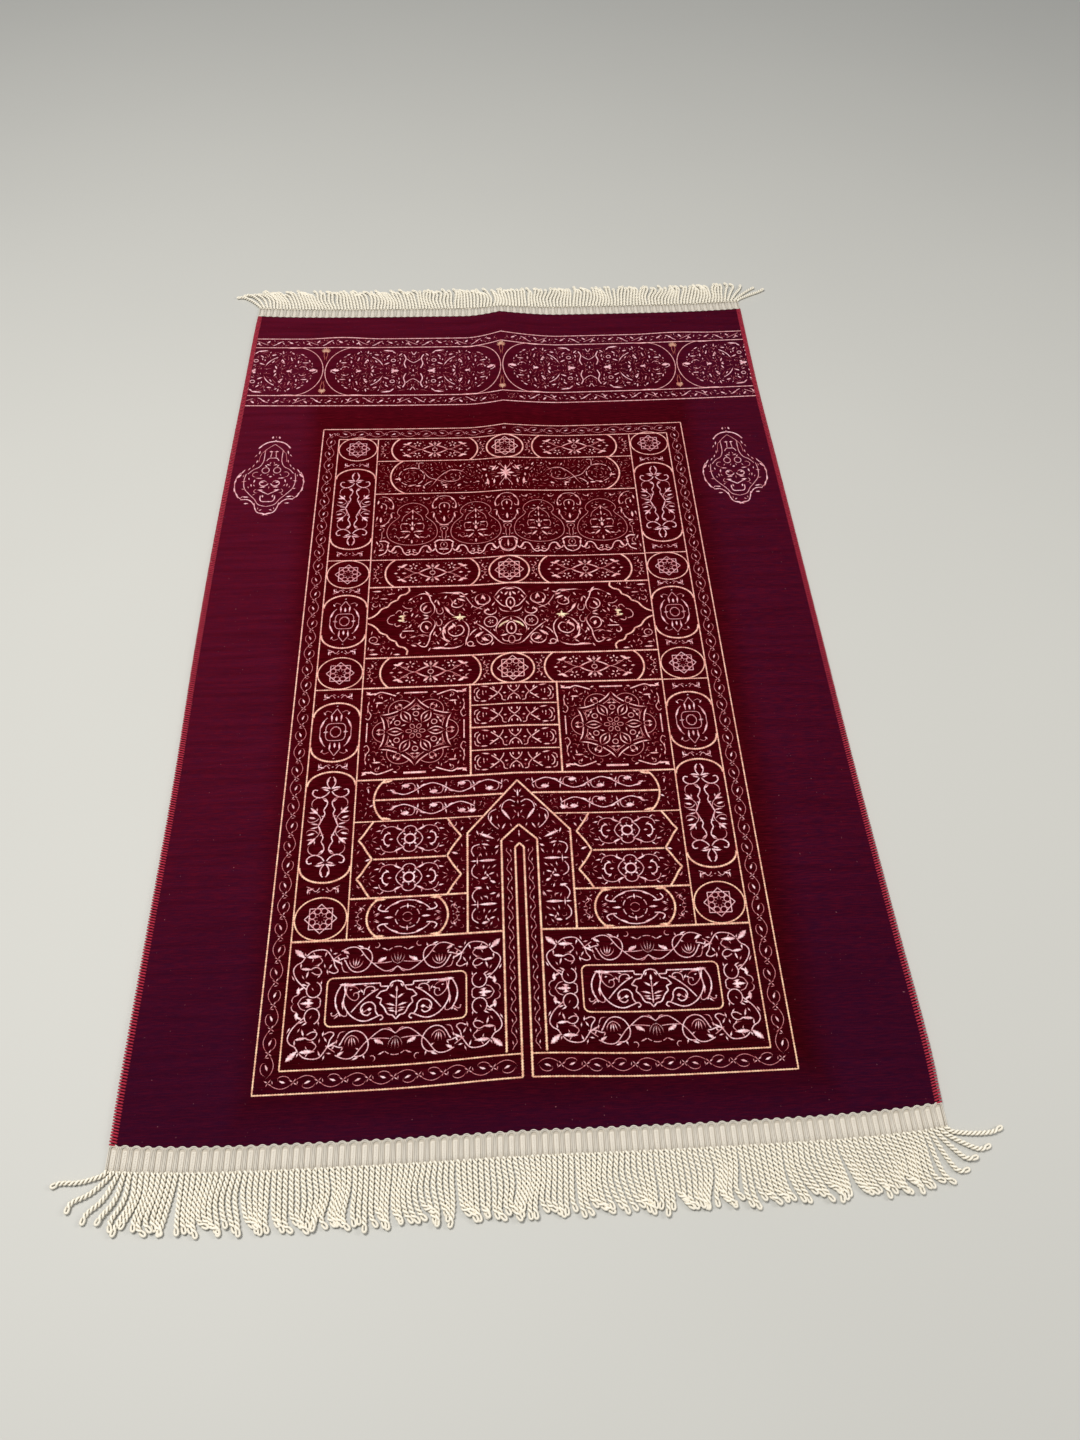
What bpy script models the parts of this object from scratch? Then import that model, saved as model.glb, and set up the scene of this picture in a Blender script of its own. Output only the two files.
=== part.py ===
"""A prayer rug laid out on the floor, with the sharp crease that lengthwise folding left in it.

It is five pieces: the woven cloth, an overcast edging down each side, and at each end a
corded fringe, whose heading is a narrow strip that the cords hang from.

Metres, +Z up. The origin is on the floor under the middle of the rug. +Y runs along the
crease to the far end, and +X runs to the right-hand edge.
"""

import bisect
import collections
import math

import bmesh
import bpy

MM = 0.001

# The flat rug
RUG_WIDTH = 0.700
RUG_LENGTH = 1.144
CLOTH_THICK = 3.0 * MM
SEAM_GAP = 0.3 * MM

# The overcast edging down each side
EDGING_WIDE = 5.0 * MM
EDGING_HIGH = 4.2 * MM
EDGING_BEVEL = 1.2 * MM

# The corded fringe at each end. A cord turns by its lean with this power of the way along it,
# and the cords' lengths differ by two waves, each a height and a rate.
HEADING_DEEP = 19.5 * MM
HEADING_THICK = 2.4 * MM
SKIRT_DEEP = 47.5 * MM
CORD_COUNT = 150
CORDS_A_LOOP = 2
CORD_WIDE = 3.1 * MM
CORD_HIGH = 3.0 * MM
CORD_TIP_HIGH = 2.6 * MM
CORD_STEPS = 3
CORD_BEND = 0.4
CORD_LENGTH_WAVES = ((2.4 * MM, 1.7), (1.5 * MM, 4.1))

HALF_WIDTH = RUG_WIDTH / 2
HALF_LENGTH = RUG_LENGTH / 2
CLOTH_HALF_WIDTH = HALF_WIDTH - EDGING_WIDE - SEAM_GAP
CORD_PITCH = RUG_WIDTH / CORD_COUNT

# How the rug lies. SKEW is how far it leans sideways for each metre along it. The crease is a
# ridge with hollow flanks, steep on the left and longer on the right.
SKEW = 0.012
CREASE_X = -3.0 * MM
RIDGE_LEFT = 48 * MM
RIDGE_RIGHT = 80 * MM
RIDGE_HOLLOW = 1.5
RIDGE_STEPS = (0.0, 0.2, 0.45, 0.72, 1.0)
PUSH_WIDE = 75 * MM
CORNER_POWER = 6

# The rows of this table run along the rug. y is in metres, and the rest is in millimetres.
# ridge: how high the crease stands. bow: how far the sides lie beyond the middle.
# corner: how far the corners sweep beyond that. push: how far the cloth is pushed along at
# the crease. left and right: how far each edge stands out from a straight line.
Lay = collections.namedtuple("Lay", "y ridge bow corner push left right")
LAY = (
    Lay(y=-0.572, ridge=0.6, bow=0.0, corner=7.0, push=1.0, left=0.0, right=0.0),
    Lay(y=-0.515, ridge=0.6, bow=0.0, corner=1.0, push=5.0, left=1.0, right=2.0),
    Lay(y=-0.390, ridge=0.6, bow=-1.0, corner=0.0, push=2.0, left=1.0, right=0.0),
    Lay(y=-0.215, ridge=1.0, bow=-1.5, corner=0.0, push=2.0, left=1.0, right=-2.0),
    Lay(y=-0.050, ridge=2.0, bow=0.0, corner=0.0, push=0.5, left=4.0, right=-2.0),
    Lay(y=0.095, ridge=3.2, bow=3.0, corner=0.0, push=0.0, left=5.0, right=-2.0),
    Lay(y=0.250, ridge=3.4, bow=3.0, corner=0.0, push=0.0, left=4.0, right=-2.5),
    Lay(y=0.332, ridge=6.0, bow=6.0, corner=0.0, push=0.0, left=3.0, right=-3.0),
    Lay(y=0.405, ridge=6.5, bow=7.0, corner=0.0, push=0.0, left=2.0, right=-3.0),
    Lay(y=0.530, ridge=10.5, bow=5.0, corner=1.0, push=0.0, left=1.0, right=-1.0),
    Lay(y=0.572, ridge=7.5, bow=2.0, corner=6.0, push=0.0, left=0.0, right=0.0),
)

# Low swellings of the cloth towards the far end, in millimetres
Swell = collections.namedtuple("Swell", "x y high wide long")
SWELLS = (
    Swell(x=-225, y=523, high=2.6, wide=55, long=30),
    Swell(x=245, y=523, high=1.8, wide=60, long=30),
)

CLOTH_ROWS = 26
SIDE_COLUMNS = 8

# Where the cords of a fringe part into locks, and how wide the opening is at the tips, in
# millimetres. Cords between two openings lean together.
Parting = collections.namedtuple("Parting", "x wide")
NEAR_PARTINGS = (
    Parting(x=-318, wide=3.0),
    Parting(x=-289, wide=9.0),
    Parting(x=-240, wide=3.0),
    Parting(x=-213, wide=4.0),
    Parting(x=-168, wide=4.0),
    Parting(x=-150, wide=4.0),
    Parting(x=-118, wide=2.5),
    Parting(x=-66, wide=5.0),
    Parting(x=-20, wide=3.0),
    Parting(x=31, wide=4.0),
    Parting(x=96, wide=3.0),
    Parting(x=146, wide=4.0),
    Parting(x=168, wide=5.0),
    Parting(x=207, wide=4.0),
    Parting(x=250, wide=7.0),
    Parting(x=301, wide=2.0),
    Parting(x=333, wide=2.5),
)
FAR_PARTINGS = (
    Parting(x=-301, wide=4.0),
    Parting(x=-236, wide=3.0),
    Parting(x=-190, wide=4.0),
    Parting(x=-121, wide=3.0),
    Parting(x=-70, wide=5.0),
    Parting(x=-12, wide=7.0),
    Parting(x=36, wide=4.0),
    Parting(x=101, wide=3.0),
    Parting(x=161, wide=3.0),
    Parting(x=215, wide=4.0),
    Parting(x=262, wide=4.0),
    Parting(x=306, wide=3.0),
)

# How far the tips lean sideways along the rug's end, in millimetres
Lean = collections.namedtuple("Lean", "x shift")
NEAR_LEANS = (
    Lean(x=-350, shift=-10.0),
    Lean(x=-300, shift=-3.0),
    Lean(x=-240, shift=1.0),
    Lean(x=0, shift=0.0),
    Lean(x=160, shift=1.0),
    Lean(x=230, shift=8.0),
    Lean(x=270, shift=10.0),
    Lean(x=350, shift=10.0),
)
FAR_LEANS = (
    Lean(x=-350, shift=-18.0),
    Lean(x=-200, shift=-10.0),
    Lean(x=0, shift=0.0),
    Lean(x=200, shift=8.0),
    Lean(x=350, shift=12.0),
)

# The corner cords stray outwards: how far each is turned from its neighbours' way, in degrees,
# the outermost first
NEAR_LEFT_STRAYS = (62, 40, 23, 12, 5)
NEAR_RIGHT_STRAYS = (60, 40, 25, 12, 5)
FAR_LEFT_STRAYS = (32, 20, 11, 5, 2)
FAR_RIGHT_STRAYS = (50, 34, 20, 10, 4)


def smooth_read(rows, place):
    """The row of a table at this place, read from a smooth curve through its rows.

    The first column is the place. Past either end, the end row holds.
    """
    places = [row[0] for row in rows]
    if place <= places[0]:
        return rows[0]
    if place >= places[-1]:
        return rows[-1]
    after = bisect.bisect_right(places, place)
    before = after - 1
    step = places[after] - places[before]
    t = (place - places[before]) / step

    def slope(index, column):
        low, high = max(index - 1, 0), min(index + 1, len(rows) - 1)
        return (rows[high][column] - rows[low][column]) / (places[high] - places[low])

    def value(column):
        start, end = rows[before][column], rows[after][column]
        leaving, arriving = slope(before, column) * step, slope(after, column) * step
        bend = 2 * (start - end) + leaving + arriving
        return start + t * (leaving + t * (end - start - leaving + (t - 1) * bend))

    return type(rows[0])(place, *(value(column) for column in range(1, len(rows[0]))))


def ridge_share(x):
    """How much of the crease's height is left at this distance across the rug, from 0 to 1."""
    wide = RIDGE_LEFT if x < CREASE_X else RIDGE_RIGHT
    return max(0.0, 1 - abs(x - CREASE_X) / wide) ** RIDGE_HOLLOW


def swelling(x, y):
    """The height of the low swellings at a place on the rug."""
    total = 0.0
    for swell in SWELLS:
        across = (x / MM - swell.x) / swell.wide
        along = (y / MM - swell.y) / swell.long
        away = math.hypot(across, along)
        if away < 1:
            total += swell.high * MM * (1 + math.cos(math.pi * away)) / 2
    return total


def laid(x, y, height=0.0):
    """Where a place on the flat rug lies on the floor, raised by height above its underside."""
    lay = smooth_read(LAY, y)
    side = x / HALF_WIDTH
    edge = lay.left if x < 0 else lay.right
    beyond = max(0.0, abs(y) - HALF_LENGTH) / (HEADING_DEEP + SKIRT_DEEP)
    fall = max(0.0, 1 - beyond) ** 2
    push = lay.push * math.exp(-(((x - CREASE_X) / PUSH_WIDE) ** 2))
    along = lay.bow * side**2 + lay.corner * abs(side) ** CORNER_POWER + push
    lift = lay.ridge * MM * ridge_share(x) * fall + swelling(x, y)
    return (x + SKEW * y + side * edge * MM, y + along * MM, lift + height)


def even_places(low, high, count):
    """This many places from low to high, evenly apart."""
    return [low + (high - low) * k / (count - 1) for k in range(count)]


def cloth_columns():
    """The places across the cloth where its mesh has a line: close at the crease and corners."""
    flanks = [CREASE_X - RIDGE_LEFT * step for step in RIDGE_STEPS[:0:-1]]
    flanks += [CREASE_X + RIDGE_RIGHT * step for step in RIDGE_STEPS]
    quarter = math.pi / 2
    left = [
        flanks[0] - (CLOTH_HALF_WIDTH + flanks[0]) * math.sin(quarter * k / SIDE_COLUMNS)
        for k in range(SIDE_COLUMNS, 0, -1)
    ]
    right = [
        flanks[-1] + (CLOTH_HALF_WIDTH - flanks[-1]) * math.sin(quarter * k / SIDE_COLUMNS)
        for k in range(1, SIDE_COLUMNS + 1)
    ]
    return left + flanks + right


def add_skin(mesh, rows):
    """Adds rows of points, each a closed ring, with faces between neighbours. Returns the rings."""
    rings = [[mesh.verts.new(point) for point in row] for row in rows]
    for ring, following in zip(rings, rings[1:]):
        for k in range(len(ring)):
            after = (k + 1) % len(ring)
            mesh.faces.new((ring[k], ring[after], following[after], following[k]))
    return rings


def finish_mesh(mesh, name, material, smooth_angle=None):
    """An object of this name from the finished faces, with its faces turned outwards."""
    bmesh.ops.recalc_face_normals(mesh, faces=mesh.faces)
    data = bpy.data.meshes.new(name)
    mesh.to_mesh(data)
    mesh.free()
    if smooth_angle is not None:
        data.shade_smooth()
        data.set_sharp_from_angle(angle=math.radians(smooth_angle))
    data.materials.append(material)
    piece = bpy.data.objects.new(name, data)
    bpy.context.scene.collection.objects.link(piece)
    return piece


def yarn(name, colour, roughness):
    """A plain yarn material."""
    material = bpy.data.materials.new(name)
    material.use_nodes = True
    shader = material.node_tree.nodes["Principled BSDF"]
    shader.inputs["Base Color"].default_value = (*colour, 1.0)
    shader.inputs["Roughness"].default_value = roughness
    shader.inputs["Metallic"].default_value = 0.0
    return material


def make_cloth(material):
    """The woven cloth: one sheet that follows the crease and the swellings, top and bottom."""
    mesh = bmesh.new()
    columns = cloth_columns()
    rows = []
    for y in even_places(-HALF_LENGTH, HALF_LENGTH, CLOTH_ROWS):
        under = [laid(x, y) for x in columns]
        top = [laid(x, y, CLOTH_THICK) for x in reversed(columns)]
        rows.append(under + top)
    rings = add_skin(mesh, rows)
    for ring in (rings[0], rings[-1]):
        for k in range(len(columns) - 1):
            mesh.faces.new((ring[k], ring[k + 1], ring[-k - 2], ring[-k - 1]))
    return finish_mesh(mesh, "rug_cloth", material, smooth_angle=40)


def make_edging(name, side, material):
    """The overcast edging of one side: a rounded bar along the whole length of the cloth."""
    mesh = bmesh.new()
    inner, outer = HALF_WIDTH - EDGING_WIDE, HALF_WIDTH
    profile = (
        (inner, 0.0),
        (outer - EDGING_BEVEL, 0.0),
        (outer, EDGING_BEVEL),
        (outer, EDGING_HIGH - EDGING_BEVEL),
        (outer - EDGING_BEVEL, EDGING_HIGH),
        (inner + EDGING_BEVEL, EDGING_HIGH),
        (inner, EDGING_HIGH - EDGING_BEVEL),
    )
    rows = [
        [laid(side * across, y, up) for across, up in profile]
        for y in even_places(-HALF_LENGTH, HALF_LENGTH, CLOTH_ROWS)
    ]
    rings = add_skin(mesh, rows)
    mesh.faces.new(rings[0][::-1])
    mesh.faces.new(rings[-1])
    return finish_mesh(mesh, name, material, smooth_angle=50)


def tip_shift(x, partings, leans):
    """How far the tip of the cord that hangs from x is carried sideways, in metres."""
    place = x / MM
    shift = smooth_read(leans, place).shift
    edge = HALF_WIDTH / MM
    stops = [Parting(-edge, 0.0), *partings, Parting(edge, 0.0)]
    for left, right in zip(stops, stops[1:]):
        if left.x <= place <= right.x:
            share = (place - left.x) / (right.x - left.x)
            shift += left.wide / 2 * (1 - share) - right.wide / 2 * share
    return shift * MM


def cord_path(index, partings, leans, left_strays, right_strays):
    """The flat places that one cord runs through, as (across, beyond the heading)."""
    root = -HALF_WIDTH + CORD_PITCH * (index + 0.5)
    length = SKIRT_DEEP + sum(high * math.sin(rate * index) for high, rate in CORD_LENGTH_WAVES)
    lean = math.atan2(tip_shift(root, partings, leans), SKIRT_DEEP)
    from_right = CORD_COUNT - 1 - index
    if index < len(left_strays):
        lean -= math.radians(left_strays[index])
    if from_right < len(right_strays):
        lean += math.radians(right_strays[from_right])
    run = length / CORD_STEPS
    path = [(root, 0.0)]
    for step in range(CORD_STEPS):
        middle = run * (step + 0.5) / SKIRT_DEEP
        turned = lean * (1 + CORD_BEND) * middle**CORD_BEND
        across, beyond = path[-1]
        path.append((across + run * math.sin(turned), beyond + run * math.cos(turned)))
    return path


def cord_rings(path, end):
    """Four corners around each place of a cord's path, from its root to its tip."""
    heading_edge = HALF_LENGTH + SEAM_GAP + HEADING_DEEP
    rings = []
    for step, (across, beyond) in enumerate(path):
        before, after = path[max(step - 1, 0)], path[min(step + 1, len(path) - 1)]
        run = math.hypot(after[0] - before[0], after[1] - before[1])
        side = (after[1] - before[1]) / run, -(after[0] - before[0]) / run
        high = CORD_HIGH + (CORD_TIP_HIGH - CORD_HIGH) * step / CORD_STEPS
        if step == 0:
            side, high = (1.0, 0.0), HEADING_THICK
        half = CORD_WIDE / 2
        corners = ((-half, 0.0), (half, 0.0), (half, high), (-half, high))
        rings.append(
            [
                laid(across + side[0] * w, end * (heading_edge + beyond + side[1] * w), up)
                for w, up in corners
            ]
        )
    return rings


def make_fringe(name, end, material, partings, leans, left_strays, right_strays):
    """One end's fringe: the heading strip and the cords, whose roots grow out of its outer face.

    end is -1 for the near end and 1 for the far end.
    """
    mesh = bmesh.new()
    inner_y = end * (HALF_LENGTH + SEAM_GAP)
    outer_y = end * (HALF_LENGTH + SEAM_GAP + HEADING_DEEP)
    paths = [
        cord_path(index, partings, leans, left_strays, right_strays)
        for index in range(CORD_COUNT)
    ]
    loops = CORD_COUNT // CORDS_A_LOOP
    inner = [
        [mesh.verts.new(laid(x, inner_y, up)) for up in (0.0, HEADING_THICK)]
        for x in even_places(-HALF_WIDTH, HALF_WIDTH, loops + 1)
    ]
    ends = [
        [mesh.verts.new(laid(x, outer_y, up)) for up in (0.0, HEADING_THICK)]
        for x in (-HALF_WIDTH, HALF_WIDTH)
    ]
    outer = [ends[0]]
    for path in paths:
        rings = add_skin(mesh, cord_rings(path, end))
        mesh.faces.new(rings[-1])
        low_left, low_right, high_right, high_left = rings[0]
        outer += [[low_left, high_left], [low_right, high_right]]
    outer.append(ends[1])
    # Every second gap along the outer face lies between two roots: the others are the roots.
    for gap in range(0, len(outer) - 1, 2):
        here, there = outer[gap], outer[gap + 1]
        mesh.faces.new((here[0], there[0], there[1], here[1]))
    for here, there in zip(inner, inner[1:]):
        mesh.faces.new((here[0], there[0], there[1], here[1]))
    for here, there in ((inner[0], outer[0]), (inner[-1], outer[-1])):
        mesh.faces.new((here[0], there[0], there[1], here[1]))
    points_a_loop = 2 * CORDS_A_LOOP
    for level in (0, 1):
        for loop in range(loops):
            first = 0 if loop == 0 else 1 + points_a_loop * loop
            last = len(outer) - 1 if loop == loops - 1 else 1 + points_a_loop * (loop + 1)
            edge = [outer[k][level] for k in range(first, last + 1)]
            mesh.faces.new([inner[loop][level], *edge, inner[loop + 1][level]])
    return finish_mesh(mesh, name, material)


def main():
    for thing in list(bpy.data.objects):
        bpy.data.objects.remove(thing)
    burgundy = yarn("burgundy_chenille", colour=(0.085, 0.006, 0.014), roughness=0.9)
    crimson = yarn("crimson_edging", colour=(0.32, 0.035, 0.05), roughness=0.75)
    cream = yarn("cream_fringe", colour=(0.72, 0.66, 0.54), roughness=0.85)
    make_cloth(burgundy)
    make_edging("edging_left", -1, crimson)
    make_edging("edging_right", 1, crimson)
    make_fringe(
        "fringe_near", -1, cream, NEAR_PARTINGS, NEAR_LEANS, NEAR_LEFT_STRAYS, NEAR_RIGHT_STRAYS
    )
    make_fringe(
        "fringe_far", 1, cream, FAR_PARTINGS, FAR_LEANS, FAR_LEFT_STRAYS, FAR_RIGHT_STRAYS
    )


main()
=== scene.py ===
# %% [markdown]
# # A prayer rug, laid out with its fold crease
# The measured solids of the rug come first, as a fixed frame. They are plain: this lesson
# weaves, overcasts and fringes them. The finished rug has to keep the size of the measured
# one.

# %% Load the measured rug
import math

import bpy
import numpy as np
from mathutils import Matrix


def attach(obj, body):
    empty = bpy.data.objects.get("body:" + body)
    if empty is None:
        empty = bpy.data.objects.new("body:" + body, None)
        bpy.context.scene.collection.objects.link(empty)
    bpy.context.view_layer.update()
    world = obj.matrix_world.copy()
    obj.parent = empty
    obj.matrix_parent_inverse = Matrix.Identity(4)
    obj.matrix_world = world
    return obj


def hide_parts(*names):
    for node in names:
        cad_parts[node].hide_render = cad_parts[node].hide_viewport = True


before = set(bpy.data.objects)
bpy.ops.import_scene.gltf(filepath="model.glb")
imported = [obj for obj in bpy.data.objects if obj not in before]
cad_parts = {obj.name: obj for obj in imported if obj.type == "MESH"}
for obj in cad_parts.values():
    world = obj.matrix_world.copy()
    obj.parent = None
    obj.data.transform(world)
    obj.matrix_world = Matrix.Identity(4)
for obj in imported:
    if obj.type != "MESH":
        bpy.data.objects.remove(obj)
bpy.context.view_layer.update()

MM = 0.001

# %% [markdown]
# ## The camera
# The photograph looks down on the rug from above its near end. The camera's place was worked
# out from the four corners of the cloth. A camera can be aimed with a tracking constraint, but
# this one is also rolled by two degrees, so its three directions are written down instead.

# %% Place the camera
from mathutils import Matrix, Vector

CAMERA_AT = Vector((-0.0335, -0.8179, 0.9397))
CAMERA_RIGHT = Vector((0.99826, -0.05563, 0.01939))
CAMERA_UP = Vector((0.03398, 0.81248, 0.58200))
CAMERA_LENS = 27.125
SENSOR = 36.0

camera = bpy.data.objects.new("camera", bpy.data.cameras.new("camera"))
camera.data.lens = CAMERA_LENS
camera.data.sensor_width = SENSOR
axes = Matrix((CAMERA_RIGHT, CAMERA_UP, CAMERA_RIGHT.cross(CAMERA_UP))).transposed()
camera.matrix_world = Matrix.Translation(CAMERA_AT) @ axes.to_4x4()
bpy.context.scene.collection.objects.link(camera)
bpy.context.scene.camera = camera
print("camera", round(CAMERA_AT.z, 2), "m above the floor")

# %% [markdown]
# ## Studio light and floor
# A shop's ceiling lights would mirror in the floor, so the studio has one wide soft light
# overhead, a weaker one from the side, and a pale sky that fills the shadows. The floor is one
# large plane of pale, faintly mottled paint.

# %% Hang the lights
SKY = (0.93, 0.96, 1.0)
SKY_STRENGTH = 0.33


def hang_light(name, place, aim, wide, power, colour):
    """A square soft light at a place, turned to look at another."""
    data = bpy.data.lights.new(name, "AREA")
    data.shape = "SQUARE"
    data.size, data.energy, data.color = wide, power, colour
    light = bpy.data.objects.new(name, data)
    light.location = place
    light.rotation_euler = (Vector(aim) - Vector(place)).to_track_quat("-Z", "Y").to_euler()
    bpy.context.scene.collection.objects.link(light)


hang_light("overhead", (-0.8, -0.1, 2.4), (-0.1, -0.1, 0), 0.9, 56, (1.0, 0.98, 0.95))
hang_light("side", (1.9, -0.4, 1.5), (0, 0, 0), 0.8, 14, (1.0, 0.97, 0.94))

world = bpy.data.worlds.new("pale_sky")
world.use_nodes = True
sky = world.node_tree.nodes["Background"]
sky.inputs["Color"].default_value = (*SKY, 1)
sky.inputs["Strength"].default_value = SKY_STRENGTH
bpy.context.scene.world = world
bpy.context.scene.view_settings.view_transform = "Standard"
print("two lights and a pale sky")

# %% [markdown]
# ## How the rug lies
# The pattern, the edging and the cords are all designed on a flat rug. One function then lays
# any flat place on the floor: it leans the rug, lifts the sharp crease that folding left along
# the middle, and lets the ends and sides run as unevenly as in the photograph. A cloth
# simulation would settle to a shape of its own, so the lie is written as a table instead, with
# the same numbers as the measured solids.

# %% Lay flat places on the floor
RUG_WIDTH = 0.700
RUG_LENGTH = 1.144
HALF_WIDTH, HALF_LENGTH = RUG_WIDTH / 2, RUG_LENGTH / 2
HEADING_DEEP = 19.5 * MM
SKIRT_DEEP = 47.5 * MM
SKEW = 0.012
CREASE_X = -3.0 * MM
RIDGE_LEFT = 48 * MM
RIDGE_RIGHT = 80 * MM
RIDGE_HOLLOW = 1.5
PUSH_WIDE = 75 * MM
CORNER_POWER = 6

# Columns: y in metres, then in millimetres the ridge's height, the sides' bow, the corners'
# sweep, the push along the crease, and how far the left and right edges stand out.
LIE = np.array(
    [
        (-0.572, 0.6, 0.0, 7.0, 1.0, 0.0, 0.0),
        (-0.515, 0.6, 0.0, 1.0, 5.0, 1.0, 2.0),
        (-0.390, 0.6, -1.0, 0.0, 2.0, 1.0, 0.0),
        (-0.215, 1.0, -1.5, 0.0, 2.0, 1.0, -2.0),
        (-0.050, 2.0, 0.0, 0.0, 0.5, 4.0, -2.0),
        (0.095, 3.2, 3.0, 0.0, 0.0, 5.0, -2.0),
        (0.250, 3.4, 3.0, 0.0, 0.0, 4.0, -2.5),
        (0.332, 6.0, 6.0, 0.0, 0.0, 3.0, -3.0),
        (0.405, 6.5, 7.0, 0.0, 0.0, 2.0, -3.0),
        (0.530, 10.5, 5.0, 1.0, 0.0, 1.0, -1.0),
        (0.572, 7.5, 2.0, 6.0, 0.0, 0.0, 0.0),
    ]
)
# Columns: x, y, height, width and length of the low swellings, in millimetres
SWELLS = ((-225, 523, 2.6, 55, 30), (245, 523, 1.8, 60, 30))


def read_lie(y):
    """The lie table's columns at each y, from a smooth curve through its rows."""
    places, values = LIE[:, 0], LIE[:, 1:] * MM
    slopes = np.empty_like(values)
    slopes[1:-1] = (values[2:] - values[:-2]) / (places[2:] - places[:-2])[:, None]
    slopes[0] = (values[1] - values[0]) / (places[1] - places[0])
    slopes[-1] = (values[-1] - values[-2]) / (places[-1] - places[-2])
    y = np.clip(y, places[0], places[-1])
    before = np.clip(np.searchsorted(places, y, side="right") - 1, 0, len(places) - 2)
    step = (places[before + 1] - places[before])[:, None]
    t = (y - places[before])[:, None] / step
    start, end = values[before], values[before + 1]
    leaving, arriving = slopes[before] * step, slopes[before + 1] * step
    bend = 2 * (start - end) + leaving + arriving
    return (start + t * (leaving + t * (end - start - leaving + (t - 1) * bend))).T


def lay(flat):
    """Lays flat places on the floor. Each row is across, along and height, in metres."""
    x, y, height = np.asarray(flat, float).T
    ridge, bow, corner, push, left, right = read_lie(y)
    side = x / HALF_WIDTH
    beyond = np.maximum(0, np.abs(y) - HALF_LENGTH) / (HEADING_DEEP + SKIRT_DEEP)
    fall = np.maximum(0, 1 - beyond) ** 2
    wide = np.where(x < CREASE_X, RIDGE_LEFT, RIDGE_RIGHT)
    flank = np.maximum(0, 1 - np.abs(x - CREASE_X) / wide) ** RIDGE_HOLLOW
    lift = ridge * flank * fall
    for swell_x, swell_y, high, across, along in SWELLS:
        away = np.hypot((x / MM - swell_x) / across, (y / MM - swell_y) / along)
        lift += high * MM * (1 + np.cos(math.pi * np.minimum(away, 1))) / 2
    shove = bow * side**2 + corner * np.abs(side) ** CORNER_POWER
    shove += push * np.exp(-(((x - CREASE_X) / PUSH_WIDE) ** 2))
    edge = np.where(x < 0, left, right)
    return np.stack([x + SKEW * y + side**5 * edge, y + shove, lift + height], 1)


crest = lay([(CREASE_X, y, 0) for y in np.linspace(-0.5, 0.55, 60)])[:, 2].max()
print("the crease stands", round(crest / MM, 1), "mm high at most")

# %% [markdown]
# ## Making pieces
# Every piece below is worked out as arrays of points and faces, which Blender takes in one go.
# A small helper turns them into an object that rides on the rug's one body.

# %% A helper for meshes
made = {}


def make_piece(name, points, faces, material, replaces=(), hollows=None):
    """An object from points and faces that rides on the rug and takes a finish.

    The last argument holds a share from 0 to 1 for each point: on the cords it is painted shade, deepest in
    the grooves and on the undersides; on the figure strokes it is how red the pile makes them.
    """
    data = bpy.data.meshes.new(name)
    data.from_pydata(np.asarray(points).tolist(), [], [list(face) for face in faces])
    if hollows is not None:
        depths = data.attributes.new("hollow", "FLOAT", "POINT")
        depths.data.foreach_set("value", np.asarray(hollows, np.float32))
    data.validate()
    data.shade_smooth()
    data.materials.append(material)
    piece = bpy.data.objects.new(name, data)
    bpy.context.scene.collection.objects.link(piece)
    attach(piece, "root")
    if replaces:
        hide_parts(*replaces)
    triangles = sum(len(face) - 2 for face in faces)
    made[name] = triangles
    print(name, triangles, "triangles")
    return piece


def skin_rings(count, around):
    """The faces of a closed skin over rings of points: quads between them, and an end on each."""
    first = np.arange(count - 1)[:, None] * around
    here = np.arange(around)[None]
    after = (here + 1) % around
    quads = np.stack([first + here, first + after, first + around + after, first + around + here], -1)
    last = (count - 1) * around
    return quads.reshape(-1, 4).tolist() + [list(range(around))[::-1], [last + k for k in range(around)]]


TUBE_SIDES = 5


def tube(path, radius):
    """Points and faces of a closed tube along a path of points, in metres.

    radius is one number or one for each point.
    """
    path = np.asarray(path, float)
    ahead = np.gradient(path, axis=0)
    ahead /= np.linalg.norm(ahead, axis=1)[:, None]
    across = np.cross((0, 0, 1.0), ahead)
    flat = np.linalg.norm(across, axis=1) < 1e-6
    across[flat] = (1, 0, 0)
    across /= np.linalg.norm(across, axis=1)[:, None]
    up = np.cross(ahead, across)
    turn = np.arange(TUBE_SIDES) * 2 * math.pi / TUBE_SIDES
    radius = np.broadcast_to(radius, len(path))[:, None, None]
    ring = across[:, None] * np.cos(turn)[:, None] + up[:, None] * np.sin(turn)[:, None]
    return (path[:, None] + radius * ring).reshape(-1, 3), skin_rings(len(path), TUBE_SIDES)


def gather(parts):
    """Several (points, faces) as one."""
    points, faces, count = [], [], 0
    for some, theirs in parts:
        points.append(some)
        faces += [[corner + count for corner in face] for face in theirs]
        count += len(some)
    return np.concatenate(points), faces


print("helpers ready")

# %% [markdown]
# ## Node helpers
# A finish is a small tree of nodes. Adding them one by one in the shader editor is clear on
# screen but long in a script, so two helpers add a node and feed its sockets.

# %% Helpers for node trees


def add(tree, kind, inputs=(), **settings):
    """Adds a node. inputs maps sockets to values, or to the outputs of other nodes."""
    node = tree.nodes.new("ShaderNode" + kind)
    for key, value in settings.items():
        setattr(node, key, value)
    for key, value in dict(inputs).items():
        if isinstance(value, bpy.types.NodeSocket):
            tree.links.new(value, node.inputs[key])
        else:
            node.inputs[key].default_value = value
    return node


def maths(tree, operation, *values):
    """One step of arithmetic on numbers or outputs. Its result is kept between 0 and 1."""
    return add(tree, "Math", dict(enumerate(values)), operation=operation, use_clamp=True).outputs[0]


def plain_maths(tree, operation, *values):
    """One step of arithmetic whose result may be any number."""
    return add(tree, "Math", dict(enumerate(values)), operation=operation).outputs[0]


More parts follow.
